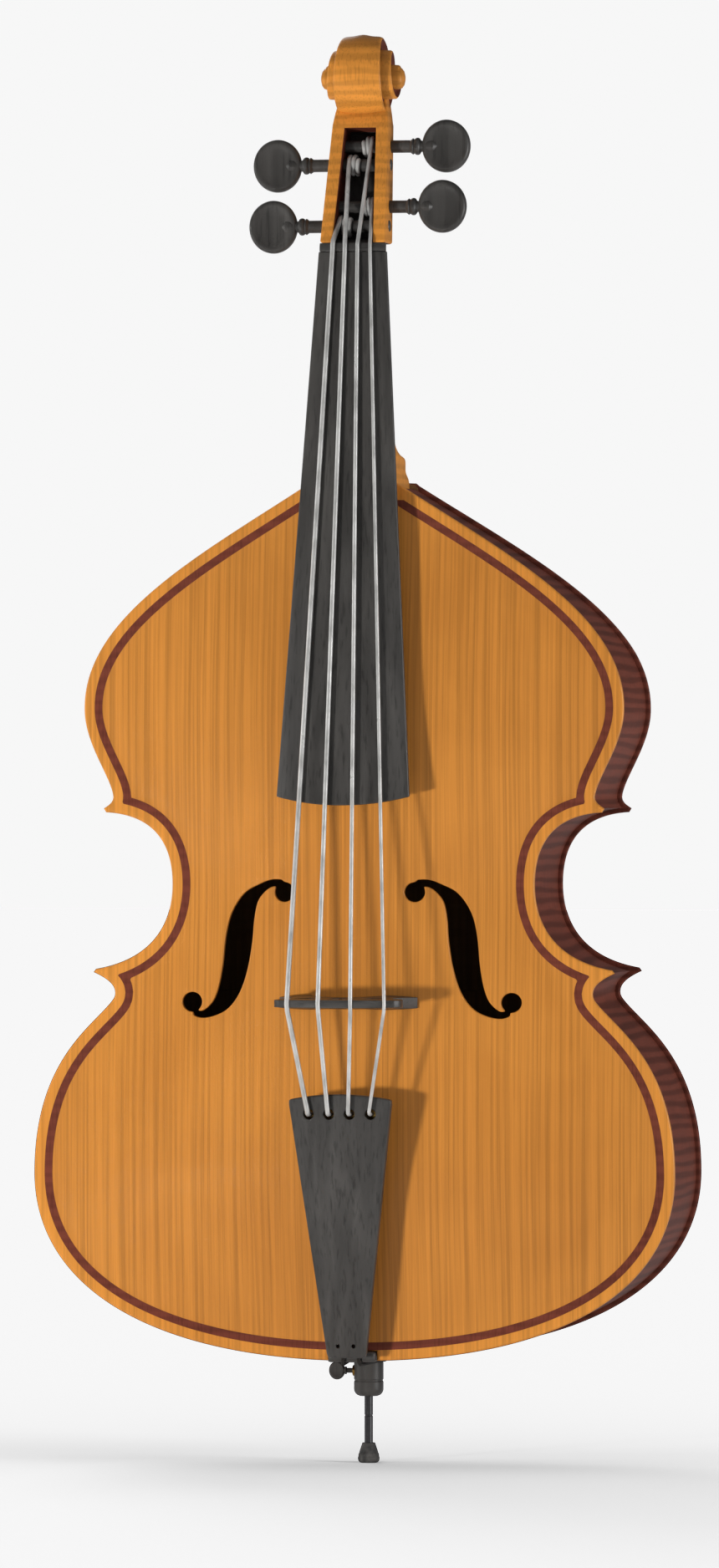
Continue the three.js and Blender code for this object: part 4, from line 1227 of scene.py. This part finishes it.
def add_scroll():
    keys = np.array(SPIRAL_WIDTHS, float)
    smooth = through(keys, 8)
    steps = round(SPIRAL_TURNS * TURN_STEPS)
    points, faces, kinds = [], [], []

    def width(turns):
        return np.interp(turns, smooth[:, 0], smooth[:, 1]) - 1.5 * max(0, -turns / NAPE_OVERLAP)

    def corner(turns):
        """The back of the pegbox has round corners, which sharpen as the scroll begins."""
        return NAPE_CORNER * float(1 - smoothstep(turns, 0.0, CORNER_FADE)) + 0.01

    def edge(turns):
        radius, half = spiral_radius(turns), width(turns)
        rim = CROWN_BULGE + corner(turns) if turns <= 1 else 1.2
        inner = radius - rim
        return [(inner, half - EDGE_WIDTH), (inner - 0.9, half - 0.8), (inner - EDGE_WIDTH, half)]

    def crown(turns):
        radius, half = spiral_radius(turns), width(turns) - EDGE_WIDTH
        fade = float(smoothstep(turns, *FLUTING_START) * (1 - smoothstep(turns, *FLUTING_END)))
        row = []
        for share in np.linspace(0, 1, 15)[:-1]:
            fluting = FLUTING * fade * math.sin(math.pi * share) ** 2
            past = max(0, 1 - half * (1 - share) / (0.8 * corner(turns)))
            rounding = corner(turns) * (1 - math.sqrt(1 - past**2))
            row.append((radius - CROWN_BULGE * share**2 - fluting - rounding, half * share))
        return row

    def next_turn(turns):
        """Where the side face meets the edge of the next turn in, or the eye."""
        if turns + 1 <= SPIRAL_TURNS:
            return edge(turns + 1)[0]
        return EYE_RADIUS - 3, width(turns) + 2

    def side_face(turns, first, last, steps):
        """Places across the side face, between two shares of the way from its edge to the next turn."""
        start, half = edge(turns)[-1][0], width(turns)
        inner = min(next_turn(turns)[0] + 0.8, start - 0.3)
        deepening = float(smoothstep(turns, 0.0, FLUTE_START))
        row = []
        for share in np.linspace(first, last, steps + 1):
            scoop = FLUTE_DEPTH * max(math.sin(math.pi * share) ** 0.8, 0.45 * share**4)
            row.append((mix(start, inner, share), half - (scoop + 1.2 * share) * deepening))
        return row

    def flute_half(turns):
        """The flute starts in a point on the nape and soon takes up the whole side face."""
        return 0.5 * float(smoothstep(turns, 0.0, FLUTE_START))

    def add_strip(rows, kind):
        """Quads between rows of places. A row is (turns, [(radius, x), ...])."""
        count = len(rows[0][1])
        for side in (-1, 1):
            start = len(points)
            for turns, row in rows:
                points.extend(spiral_place(turns, radius, side * x) for radius, x in row)
            for r in range(len(rows) - 1):
                for i in range(count - 1):
                    a = start + r * count + i
                    faces.append((a, a + 1, a + count + 1, a + count))
                    kinds.append(kind)

    turns_list = [-NAPE_OVERLAP] + [step / TURN_STEPS for step in range(steps + 1)]
    nape = [t for t in turns_list if t <= FLUTE_START + 1 / TURN_STEPS]
    add_strip([(t, crown(t) + [edge(t)[0]]) for t in turns_list if t <= 1], 0)
    add_strip([(t, edge(t)) for t in turns_list], 0)
    # The flute down the middle of each side face is painted brown as shade.
    add_strip([(t, side_face(t, 0.5 - flute_half(t), 0.5 + flute_half(t), 10)) for t in turns_list], 1)
    add_strip([(t, side_face(t, 0, 0.5 - flute_half(t), 4)) for t in nape], 0)
    add_strip([(t, side_face(t, 0.5 + flute_half(t), 1, 4)) for t in nape], 0)
    add_strip([(t, [side_face(t, 1, 1, 0)[0], next_turn(t)]) for t in turns_list], 0)
    dome = [(radius, along - EYE_REACH) for radius, along in EYE_DOME]
    dome += [(EYE_RADIUS, -30), (EYE_RADIUS, 30)] + [(radius, -along) for radius, along in dome[::-1]]
    eye_points, eye_faces = turned(dome, 48, (0, SCROLL_Y, SCROLL_HEIGHT), "x")
    kinds += [0] * len(eye_faces)
    points, faces = merged((points, faces), (eye_points, eye_faces))
    woods = [HEAD_MAPLE, SHADE_BROWN_MAPLE]
    add_piece("scroll", points, faces, woods, "head_varnish", nodes=("head",), kinds=kinds, sharp=45)


# ---- Bridge, tailpiece and what holds it

BRIDGE_FOOT_THICKNESS = 20
BRIDGE_CROWN_THICKNESS = 10
BRIDGE_ARM = 74
BRIDGE_GROOVE = 0.3  # wider than the string all round
BRIDGE_FEET = 142  # how far forward the bridge thins out from and to
BRIDGE_THIN = 238
BRIDGE_LENS = 92  # half width of the lens that the bridge is from above
BRIDGE_CROWN = 241.4  # how far in front of the ribs' middle the crown stands at the centre line
# Place across, where the top is met, and rise above it
BRIDGE_SIDE = [
    *[(86, 88, 0), (88.5, 88, 2.5), (86, 88, 7), (76, 76, 21)],
    *[(66, 64, 36), (64.5, 64, 48), (69, 70, 60)],
]
BRIDGE_UNDER = [(0, 0, 37), (16, 0, 34.5), (30, 0, 25), (41, 42, 12), (45, 48, 4), (49, 49, 0)]
HEART_WAVES = (10.5, -4.2, -1.7, -0.8)
TAIL_WIDTHS = (49, 132)
TAIL_MIDDLES = (-150, -196)
TAIL_CROWNS = (3, 9)
TAIL_TONGUE = 7
GUT_RADIUS = 2
GUT_LOOP = 21.5  # radius of the loop round the endpin's socket
SADDLE_ENDS = 4  # length over which each end of the saddle is rounded off
SADDLE_DROP = 1.6
SADDLE_TOP_ROUND = 4
SADDLE_FOOT_ROUND = 3
SADDLE_GROOVE_DEPTH = 1.3
SADDLE_GROOVE_WIDTH = 2.4
TAIL_HOLE_RADIUS = 7.5


def foot_line(x):
    return -top_outer(np.asarray(x, float), BRIDGE_HEIGHT) + GAP


def bridge_crown():
    """The top of the bridge from right to left, with a groove for each string."""
    spread = np.linspace(BRIDGE_ARM, -BRIDGE_ARM, 223)
    crown = BRIDGE_CROWN - crown_drop(spread)
    for radius, place in STRINGS.values():
        away = np.abs(spread - place * BRIDGE_SPACING)
        groove = radius + BRIDGE_GROOVE
        floor = -STRING_AT_BRIDGE - crown_drop(spread) - np.sqrt(np.maximum(0, groove**2 - away**2))
        crown = np.where(away < groove, np.minimum(crown, floor), crown)
    return np.column_stack([spread, crown])


def bridge_loop():
    def foot(x):
        return float(foot_line(x))

    crown = BRIDGE_CROWN - float(crown_drop(BRIDGE_ARM))
    feet = [(x, foot(x)) for x in np.linspace(49, 86, 18)]
    side = [(x, foot(place) + rise) for x, place, rise in BRIDGE_SIDE]
    side += [(78, crown - 30), (81.5, crown - 19), (80.5, crown - 8), (BRIDGE_ARM, crown)]
    side = through(side, 6)
    under = through([(x, foot(place) + rise) for x, place, rise in BRIDGE_UNDER], 6)
    right = np.vstack([under, feet[1:-1], side])
    left = right[::-1] * MIRROR
    return np.vstack([right, bridge_crown()[1:-1], left[:-1]])


def heart_loop():
    angles = full_circle(60)
    across = 12.5 * np.sin(angles) ** 3
    tall = sum(size * np.cos((i + 1) * angles) for i, size in enumerate(HEART_WAVES))
    return np.column_stack([across, tall + 207])


def kidney_loop(side):
    angles = full_circle(48)
    u = 15.5 * np.cos(angles)
    v = 6.4 * np.sin(angles) + 0.028 * u**2
    turn = math.radians(-24)
    x = 42 + u * math.cos(turn) - v * math.sin(turn)
    return np.column_stack([side * x, 198 + u * math.sin(turn) + v * math.cos(turn)])


def add_bridge():
    def half_thickness(x, forward):
        share = np.clip((forward - BRIDGE_FEET) / (BRIDGE_THIN - BRIDGE_FEET), 0, 1)
        lens = 0.55 + 0.45 * np.sqrt(np.maximum(0, 1 - (x / BRIDGE_LENS) ** 2))
        return mix(BRIDGE_FOOT_THICKNESS, BRIDGE_CROWN_THICKNESS, share**0.8) / 2 * lens

    rims = [(bridge_loop(), 0.5), (heart_loop(), 0.9), (kidney_loop(1), 0.9), (kidney_loop(-1), 0.9)]
    points, faces = plate(rims, lambda x, f: -half_thickness(x, f), half_thickness, 3.0, steps=3)
    points = [(x, -forward, BRIDGE_HEIGHT + thick) for x, thick, forward in points]
    add_piece("bridge", points, faces, [EBONY_ACROSS], "ebony", sharp=38)


def tail_share(height):
    return (height - TAIL_BOTTOM) / (TAIL_TOP - TAIL_BOTTOM)


def tail_middle(height):
    return mix(*TAIL_MIDDLES, tail_share(height))


def tail_front(x, height):
    half = mix(*TAIL_WIDTHS, tail_share(height)) / 2
    bulge = mix(*TAIL_CROWNS, tail_share(height)) * (1 - (x / half) ** 2)
    return tail_middle(height) - TAIL_THICKNESS / 2 - bulge


def tail_back(_, height):
    return tail_middle(height) + TAIL_THICKNESS / 2


def circle_loop(centre, radius, steps):
    angles = full_circle(steps)
    return np.column_stack([np.cos(angles), np.sin(angles)]) * radius + np.array(centre)


def add_tailpiece():
    low, high = TAIL_WIDTHS[0] / 2, TAIL_WIDTHS[1] / 2
    tongue = [(x, TAIL_TOP + TAIL_TONGUE * (1 - (x / high) ** 2)) for x in np.linspace(high, -high, 45)]
    shares = np.linspace(0, 1, 60)[:-1]
    right = [(mix(low, high, share), mix(TAIL_BOTTOM, TAIL_TOP, share)) for share in shares]
    left = [(-x, z) for x, z in right[::-1]]
    foot = [(x, TAIL_BOTTOM) for x in np.linspace(-low, low, 14)[1:-1]]
    places = [place * TAIL_SPACING for _, place in STRINGS.values()]
    holes = [(circle_loop((x, TAIL_HOLES), TAIL_HOLE_RADIUS - 0.7, 36), 0.9) for x in places]
    holes += [(circle_loop((side * GUT_X, GUT_HEIGHT), 2.6, 24), 0.5) for side in (-1, 1)]
    points, faces = plate([(softened(right + tongue + left + foot), 2.2), *holes], tail_front, tail_back, 5.0)
    add_piece("tailpiece", points, faces, [EBONY], "ebony", sharp=38)


def add_tailgut():
    under, loop = SADDLE_BOTTOM - GUT_RADIUS - 0.6, GUT_LOOP
    hole = tail_middle(GUT_HEIGHT)
    right = [
        (GUT_X, hole - 3, GUT_HEIGHT),
        (GUT_X, hole + 6, GUT_HEIGHT),
        (GUT_X, hole + 12, GUT_HEIGHT - 1),
        (GUT_X, SADDLE_FRONT - 8, 151),
        (GUT_X, SADDLE_FRONT - 3.2, 144),
        (GUT_X, SADDLE_FRONT - 3.0, 136),
        (GUT_X + 1, SADDLE_FRONT - 1.8, under + 1),
        (GUT_X + 2, SADDLE_FRONT + 4, under - 0.4),
        (GUT_X + 6, -70, under - 0.2),
        (loop - 1, -20, under),
        (loop, 0, under),
    ]
    angles = np.radians(np.arange(22.5, 180, 22.5))
    round_socket = [(loop * math.cos(a), loop * math.sin(a), under) for a in angles]
    left = [(-x, y, z) for x, y, z in right[::-1]]
    path = through(right + round_socket + left, 6)
    add_piece("tailgut", *tube(path, GUT_RADIUS, 16), [CORD], "gut_cord", sharp=60)


def add_saddle():
    """The ebony block in the edge of the top, rounded in front, with a groove for each strand."""
    spread = np.linspace(-SADDLE_HALF, SADDLE_HALF, 81)
    rings = []
    for x in spread:
        near_end = max(0.0, abs(x) - (SADDLE_HALF - SADDLE_ENDS)) / SADDLE_ENDS
        groove = SADDLE_GROOVE_DEPTH * math.exp(-(((abs(x) - GUT_X) / SADDLE_GROOVE_WIDTH) ** 2))
        drop = SADDLE_DROP * near_end**2
        front = SADDLE_FRONT + drop + groove
        top, bottom, rear = SADDLE_TOP - drop, SADDLE_BOTTOM + drop * 0.5, RIB_FRONT - GAP
        above, below = SADDLE_TOP_ROUND, SADDLE_FOOT_ROUND
        ring = [(x, y, z) for y, z in arc((front + above, top - above), above, 180, 90, 7)]
        ring += [(x, rear, top), (x, rear, bottom)]
        ring += [(x, y, z) for y, z in arc((front + below, bottom + below), below, 270, 180, 6)]
        rings.append(ring)
    add_piece("saddle", *loft(rings), [EBONY_ACROSS], "ebony", sharp=50)


# ---- Pegs and strings

STRING_LIP = 1.5  # how far a string stands out of its hole before it bends
STRING_BEND = (5.5, 4)  # forward and up
PEG_DISH_RADIUS = 31
PEG_DISH_HEIGHT = 33.5  # half of the dish's height, which makes it a little taller than wide
COIL_CLEAR = 0.15
COIL_TURNS = 2.1
# Radius and place along the axis
PEG_SHAFT = [
    *[(PEG_RADIUS, 62), (PEG_RADIUS + 0.8, 63), (9.6, 64), (10.4, 65.2), (9.6, 66.4), (8.9, 67.2)],
    *[(10.2, 68.2), (11, 70), (11, 72), (10.2, 73.8), (8.6, 74.8), (7.4, 75.6), (7.0, 77), (7.2, 79)],
    *[(8.2, 82), (9.4, 86), (9.0, 92), (4, 98), (0, 99)],
]
PEG_DISH = [
    *[(0, 5.2), (12, 5.4), (18, 5.9), (22.5, 6.9), (25, 7.8), (27, 8), (29, 7.2), (30.4, 5.2)],
    *[(PEG_DISH_RADIUS, 2.2)],
]
STRING_BALL = [
    *[(0, -3.4), (7.2, -3.4), (8.4, -2.6), (8.8, 0), (8.4, 2.6), (7.2, 3.4)],
    *[(3.6, 3.4), (3.1, 2.2), (0, 2.2)],
]


def disc(dish, sides):
    """A round head with the same dished face in front and behind."""
    return turned([(radius, -along) for radius, along in dish] + dish[::-1], sides, axis="y")


def add_peg(name):
    """A turned shaft with a collar, and a round dished head set across it."""
    side, height, _ = PEGS[name]
    far = pegbox_half(height) + 1
    shaft = [(0, -far), (PEG_RADIUS - 1.5, -far), (PEG_RADIUS, -far + 1.5), *PEG_SHAFT]
    centre = (0, peg_depth(height), height)
    shaft = turned([(radius, side * along) for radius, along in shaft], 48, centre, "x")
    head_points, head_faces = disc(PEG_DISH, 72)
    stretch = PEG_DISH_HEIGHT / PEG_DISH_RADIUS
    head_points = [(side * PEG_HEAD_X + x, centre[1] + y, height + z * stretch) for x, y, z in head_points]
    solid = merged(shaft, (head_points, head_faces))
    add_piece("peg_" + name, *solid, [EBONY], "ebony", "tuning_" + name, sharp=35)


def coil(name):
    """A coil's radius round its peg, the angle where the string meets it, its pitch and where it starts."""
    radius, place = STRINGS[name]
    side, height, drum = PEGS[name]
    reach = PEG_RADIUS + radius + COIL_CLEAR
    start_y = STRING_AT_NUT + crown_drop(place * NUT_SPACING) + 2.2
    away = np.array([start_y - peg_depth(height), NUT_HEIGHT + 3 - height])
    angle = math.atan2(away[1], away[0]) - math.acos(min(1, reach / np.hypot(*away)))
    pitch = 2 * radius + COIL_CLEAR
    return reach, angle, pitch, drum + side * COIL_TURNS / 2 * pitch


def add_winding(name):
    """The turns of string on a peg, from where the string meets it to the hole that it ends in."""
    side, height, _ = PEGS[name]
    reach, angle, pitch, start = coil(name)
    path = []
    for share in np.linspace(0, 1, 150):
        dive = 6.5 * float(smoothstep(share, 0.95, 1.0))
        turn = angle - 2 * math.pi * COIL_TURNS * share
        along = start - side * pitch * COIL_TURNS * share
        y = peg_depth(height) + (reach - dive) * math.cos(turn)
        path.append((along, y, height + (reach - dive) * math.sin(turn)))
    solid = tube(path, STRINGS[name][0], 14)
    add_piece("winding_" + name, *solid, [STRING_STEEL], "string_metal", "tuning_" + name, sharp=60)


def straight(start, end, shares):
    """Points on the straight line from start to end, at shares of the way."""
    return [tuple(mix(np.array(start, float), np.array(end, float), share)) for share in shares]


def add_string(name):
    radius, place = STRINGS[name]
    height = PEGS[name][1]
    tail, saddle, top = place * TAIL_SPACING, place * BRIDGE_SPACING, place * NUT_SPACING
    bridge_y = STRING_AT_BRIDGE + crown_drop(saddle)
    nut_y = STRING_AT_NUT + crown_drop(top)
    under = tail_back(tail, TAIL_HOLES) + 1.2
    reach, angle, _, start = coil(name)
    meet = np.array([start, peg_depth(height) + reach * math.cos(angle), height + reach * math.sin(angle)])
    front = tail_front(tail, TAIL_HOLES)
    lip = front - STRING_LIP
    path = [(tail, under, TAIL_HOLES), (tail, lip, TAIL_HOLES)]
    for a in np.radians((30, 60, 90)):
        y = lip - STRING_BEND[0] * math.sin(a)
        path.append((tail, y, TAIL_HOLES + STRING_BEND[1] * (1 - math.cos(a))))
    tail_end = np.array((tail, lip - STRING_BEND[0], TAIL_HOLES + STRING_BEND[1]))
    path += straight(tail_end, (saddle, bridge_y + 1.2, BRIDGE_HEIGHT - 6), np.linspace(0.05, 0.97, 12))
    path += [(saddle, bridge_y, BRIDGE_HEIGHT - 1), (saddle, bridge_y, BRIDGE_HEIGHT + 1)]
    bridge, nut = (saddle, bridge_y, BRIDGE_HEIGHT), (top, nut_y, NUT_HEIGHT - 8)
    path += straight(bridge, nut, np.linspace(0.01, 0.99, 40))
    path += [(top, nut_y, NUT_HEIGHT - 7), (top, nut_y + 0.2, NUT_HEIGHT - 2)]
    path += [(mix(top, start, 0.03), nut_y + 1.3, NUT_HEIGHT + 1)]
    path += straight((mix(top, start, 0.05), nut_y + 2.2, NUT_HEIGHT + 3), meet, np.linspace(0, 1, 8))
    wire_points, wire_faces = tube(path, radius, 14)
    ball_points, ball_faces = turned(STRING_BALL, 32, (tail, under + 4.2, TAIL_HOLES), "y")
    solid = merged((wire_points, wire_faces), (ball_points, ball_faces))
    kinds = [0] * len(wire_faces) + [1] * len(ball_faces)
    add_piece("string_" + name, *solid, [STRING_STEEL, BRASS], "string_metal", kinds=kinds, sharp=60)


# ---- Endpin

ROD_RADIUS = 5
ROD_BOTTOM = 13
ROD_TOP = 400
SOCKET_BORE = 5.06
SOCKET_BOTTOM = 85
PLUG_RADIUS = 16.4
SCREW_HEIGHT = 117
SCREW_RADIUS = 3
SCREW_PADDLE = (-31, -51)
NOTCH_FIRST = 60
NOTCH_SPACING = 30
NOTCH = ((-1.2, 0), (-0.5, 0.5), (0.5, 0.5), (1.2, 0))  # place along the rod and depth
SCREW_TIP = -5.4
THREAD_FIRST = -6.2
THREAD_PITCH = 1.2
THREAD_DEPTH = 0.45
SCREW_NECK = [(SCREW_RADIUS, 2.5), (4.6, 2), (4.6, 0.5), (3.6, -0.5), (3.4, -4), (0, -5)]
SOCKET_HOLE = SCREW_RADIUS + 0.4
PLUG_LENGTH = 36
# Radius and height, or place along the axis
SOCKET_RINGS = [
    *[(18.5, 98), (18.5, 103), (17.6, 104), (17.6, 105.5), (18.5, 106.5), (18.5, 127.5)],
    *[(17.6, 128.5), (17.6, 130), (18.5, 131)],
]
BUSH = [
    *[(SOCKET_HOLE, 17.4), (SOCKET_HOLE, 19.6), (SOCKET_HOLE + 0.5, 20.1)],
    *[(6.2, 20.1), (6.7, 19.6), (6.7, 17.4)],
]
TIP = [
    *[(0, 0.6), (3, 0.6), (3.6, 0), (6, 0), (6.6, 0.6), (7.4, 0.6), (8, 0), (9.5, 0), (11.6, 0.6)],
    *[(13, 2.2), (13.5, 4.5), (13.4, 7), (12.9, 7.6), (12.9, 8.4), (13.0, 9), (12.2, 12), (11.6, 12.6)],
    *[(11.5, 13.4), (11.5, 14), (9.8, 19), (8.4, 23.5), (8, 24.7), (7.4, 25), (ROD_RADIUS + GAP, 25)],
    *[(ROD_RADIUS + GAP, ROD_BOTTOM), (0, ROD_BOTTOM - GAP)],
]
SCREW_DISH = [(0, 2.2), (4, 2.3), (6, 2.9), (7.6, 3.8), (8.6, 4), (9.4, 3.4), (9.9, 2), (10, 0.6)]


def add_socket():
    seat = PLATE_BOTTOM + OVERHANG - 0.4
    profile = [(SOCKET_BORE, SOCKET_BOTTOM + 0.6), (SOCKET_BORE + 0.6, SOCKET_BOTTOM), (9, SOCKET_BOTTOM)]
    profile += arc((9.5, SOCKET_BOTTOM + 9), 9, -90, 0, 12)
    profile += [*SOCKET_RINGS, (18.5, seat - 1), (18, seat), (PLUG_RADIUS, seat)]
    profile += [(PLUG_RADIUS - 1, seat + PLUG_LENGTH), (SOCKET_BORE, seat + PLUG_LENGTH)]
    rings = []
    for angle in full_circle(96):
        c, s = math.cos(angle), math.sin(angle)
        rings.append([(radius * c, radius * s, height) for radius, height in profile])
    add_piece("endpin_socket", *loft(rings, closed_path=True), [EBONY], "ebony")
    rings = []
    for angle in full_circle(48):
        c, s = math.cos(angle), math.sin(angle)
        rings.append([(-along, radius * c, SCREW_HEIGHT + radius * s) for radius, along in BUSH])
    add_piece("screw_bush", *loft(rings, closed_path=True), [BRASS], "rod_metal", nodes=())


def add_rod():
    profile = [(0, ROD_BOTTOM), (ROD_RADIUS, ROD_BOTTOM)]
    for notch in range(NOTCH_FIRST, ROD_TOP - 20, NOTCH_SPACING):
        for away, depth in NOTCH:
            profile.append((ROD_RADIUS - depth, notch + away))
    profile += [(ROD_RADIUS, ROD_TOP - 2), (ROD_RADIUS - 2, ROD_TOP), (0, ROD_TOP)]
    add_piece("endpin_rod", *turned(profile, 64), [ROD_STEEL], "rod_metal", "endpin", sharp=30)


def add_tip():
    add_piece("endpin_tip", *turned(TIP, 72), [RUBBER], "rubber", "endpin", sharp=30)


def add_screw():
    """A threaded shaft with a flat oval head, dished on both faces."""
    start, end = SCREW_PADDLE
    thread = [(0, SCREW_TIP), (SCREW_RADIUS - 0.8, SCREW_TIP)]
    for crest in np.arange(THREAD_FIRST, start + 3, -THREAD_PITCH):
        thread += [(SCREW_RADIUS, crest), (SCREW_RADIUS - THREAD_DEPTH, crest - THREAD_PITCH / 2)]
    thread += [(radius, start + along) for radius, along in SCREW_NECK]
    shaft = turned(thread, 32, (0, 0, SCREW_HEIGHT), "x")
    middle, half = (start + end) / 2, (start - end) / 2
    head_points, head_faces = disc(SCREW_DISH, 48)
    head_points = [(middle + x * half / 10, y, SCREW_HEIGHT + z * 1.15) for x, y, z in head_points]
    solid = merged(shaft, (head_points, head_faces))
    add_piece("thumbscrew", *solid, [EBONY], "ebony", "screw")


# ---- Floor, lights and camera

VIEW_TURN = math.radians(10.5)
LENS = 250
SENSOR = 36
VIEW_HEIGHT = 2.0  # of what the frame takes in at the bass
VIEW_CENTRE = (-0.012, 0, 0.865)
FLOOR_REACH = 60  # metres
WHITE = (1, 1, 1)
LIT_MIDDLE = (0, 0, 0.9)
# Name, place and width in metres, power in watts, colour, and whether glossy surfaces mirror it
LIGHTS = [
    ("key", (-1.7, -3.3, 0.08), 0.35, 130, (1.0, 0.985, 0.96), False),
    ("fill", (4.2, -1.1, 1.1), 2.0, 90, WHITE, True),
    ("side", (-3.6, -0.8, 1.3), 1.4, 26, WHITE, True),
    ("rim", (-2.0, 3.3, 3.4), 2.6, 45, WHITE, True),
]
SKY_SEEN = 0.93
SKY_LIGHT = 0.3
SKY_GLOSS = 0.1


def add_floor():
    mesh = bpy.data.meshes.new("floor")
    corners = [(x * FLOOR_REACH, y * FLOOR_REACH, 0) for x, y in ((-1, -1), (1, -1), (1, 1), (-1, 1))]
    mesh.from_pydata(corners, [], [(0, 1, 2, 3)])
    floor = linked("floor", mesh)
    surface = Surface("floor_paint", 0.9, specular=0.0)
    surface.shader.inputs["Base Color"].default_value = (0.9, 0.9, 0.9, 1)
    mesh.materials.append(surface.material)
    floor.is_shadow_catcher = True


def add_light(name, place, size, power, colour, mirrored):
    """A round area light that points at the middle of the bass."""
    data = bpy.data.lights.new(name, "AREA")
    data.shape = "DISK"
    data.size = size
    data.energy = power
    data.color = colour
    light = linked(name, data)
    light.location = place
    light.rotation_euler = (Vector(LIT_MIDDLE) - Vector(place)).to_track_quat("-Z", "Y").to_euler()
    light.visible_glossy = mirrored


def add_lights():
    for light in LIGHTS:
        add_light(*light)
    world = bpy.data.worlds.new("studio")
    world.use_nodes = True
    nodes, links = world.node_tree.nodes, world.node_tree.links
    background = nodes["Background"]
    path = nodes.new("ShaderNodeLightPath")
    strength = None
    for ray, value in (("Is Glossy Ray", SKY_GLOSS), ("Is Camera Ray", SKY_SEEN)):
        shade = nodes.new("ShaderNodeMapRange")
        shade.inputs["To Min"].default_value = SKY_LIGHT
        shade.inputs["To Max"].default_value = value
        links.new(path.outputs[ray], shade.inputs["Value"])
        if strength:
            links.new(strength, shade.inputs["To Min"])
        strength = shade.outputs[0]
    links.new(strength, background.inputs["Strength"])
    background.inputs["Color"].default_value = (1, 1, 1, 1)
    bpy.context.scene.world = world
    bpy.context.scene.view_settings.view_transform = "Standard"


def add_camera():
    data = bpy.data.cameras.new("camera")
    data.lens = LENS
    data.sensor_width = SENSOR
    camera = linked("camera", data)
    aim = Vector(VIEW_CENTRE)
    distance = VIEW_HEIGHT / 2 / (SENSOR / 2 / LENS)
    camera.location = aim + distance * Vector((math.sin(VIEW_TURN), -math.cos(VIEW_TURN), 0))
    camera.rotation_euler = (aim - camera.location).to_track_quat("-Z", "Y").to_euler()
    bpy.context.scene.camera = camera


# ---- Assembly

add_camera()
add_floor()
add_lights()
add_top()
add_back()
add_ribs()
finish_wood_inside()
add_neck()
add_fingerboard()
add_nut()
add_pegbox()
add_scroll()
add_bridge()
add_tailpiece()
add_tailgut()
add_saddle()
for string_name in STRINGS:
    add_peg(string_name)
    add_winding(string_name)
    add_string(string_name)
add_socket()
add_rod()
add_tip()
add_screw()
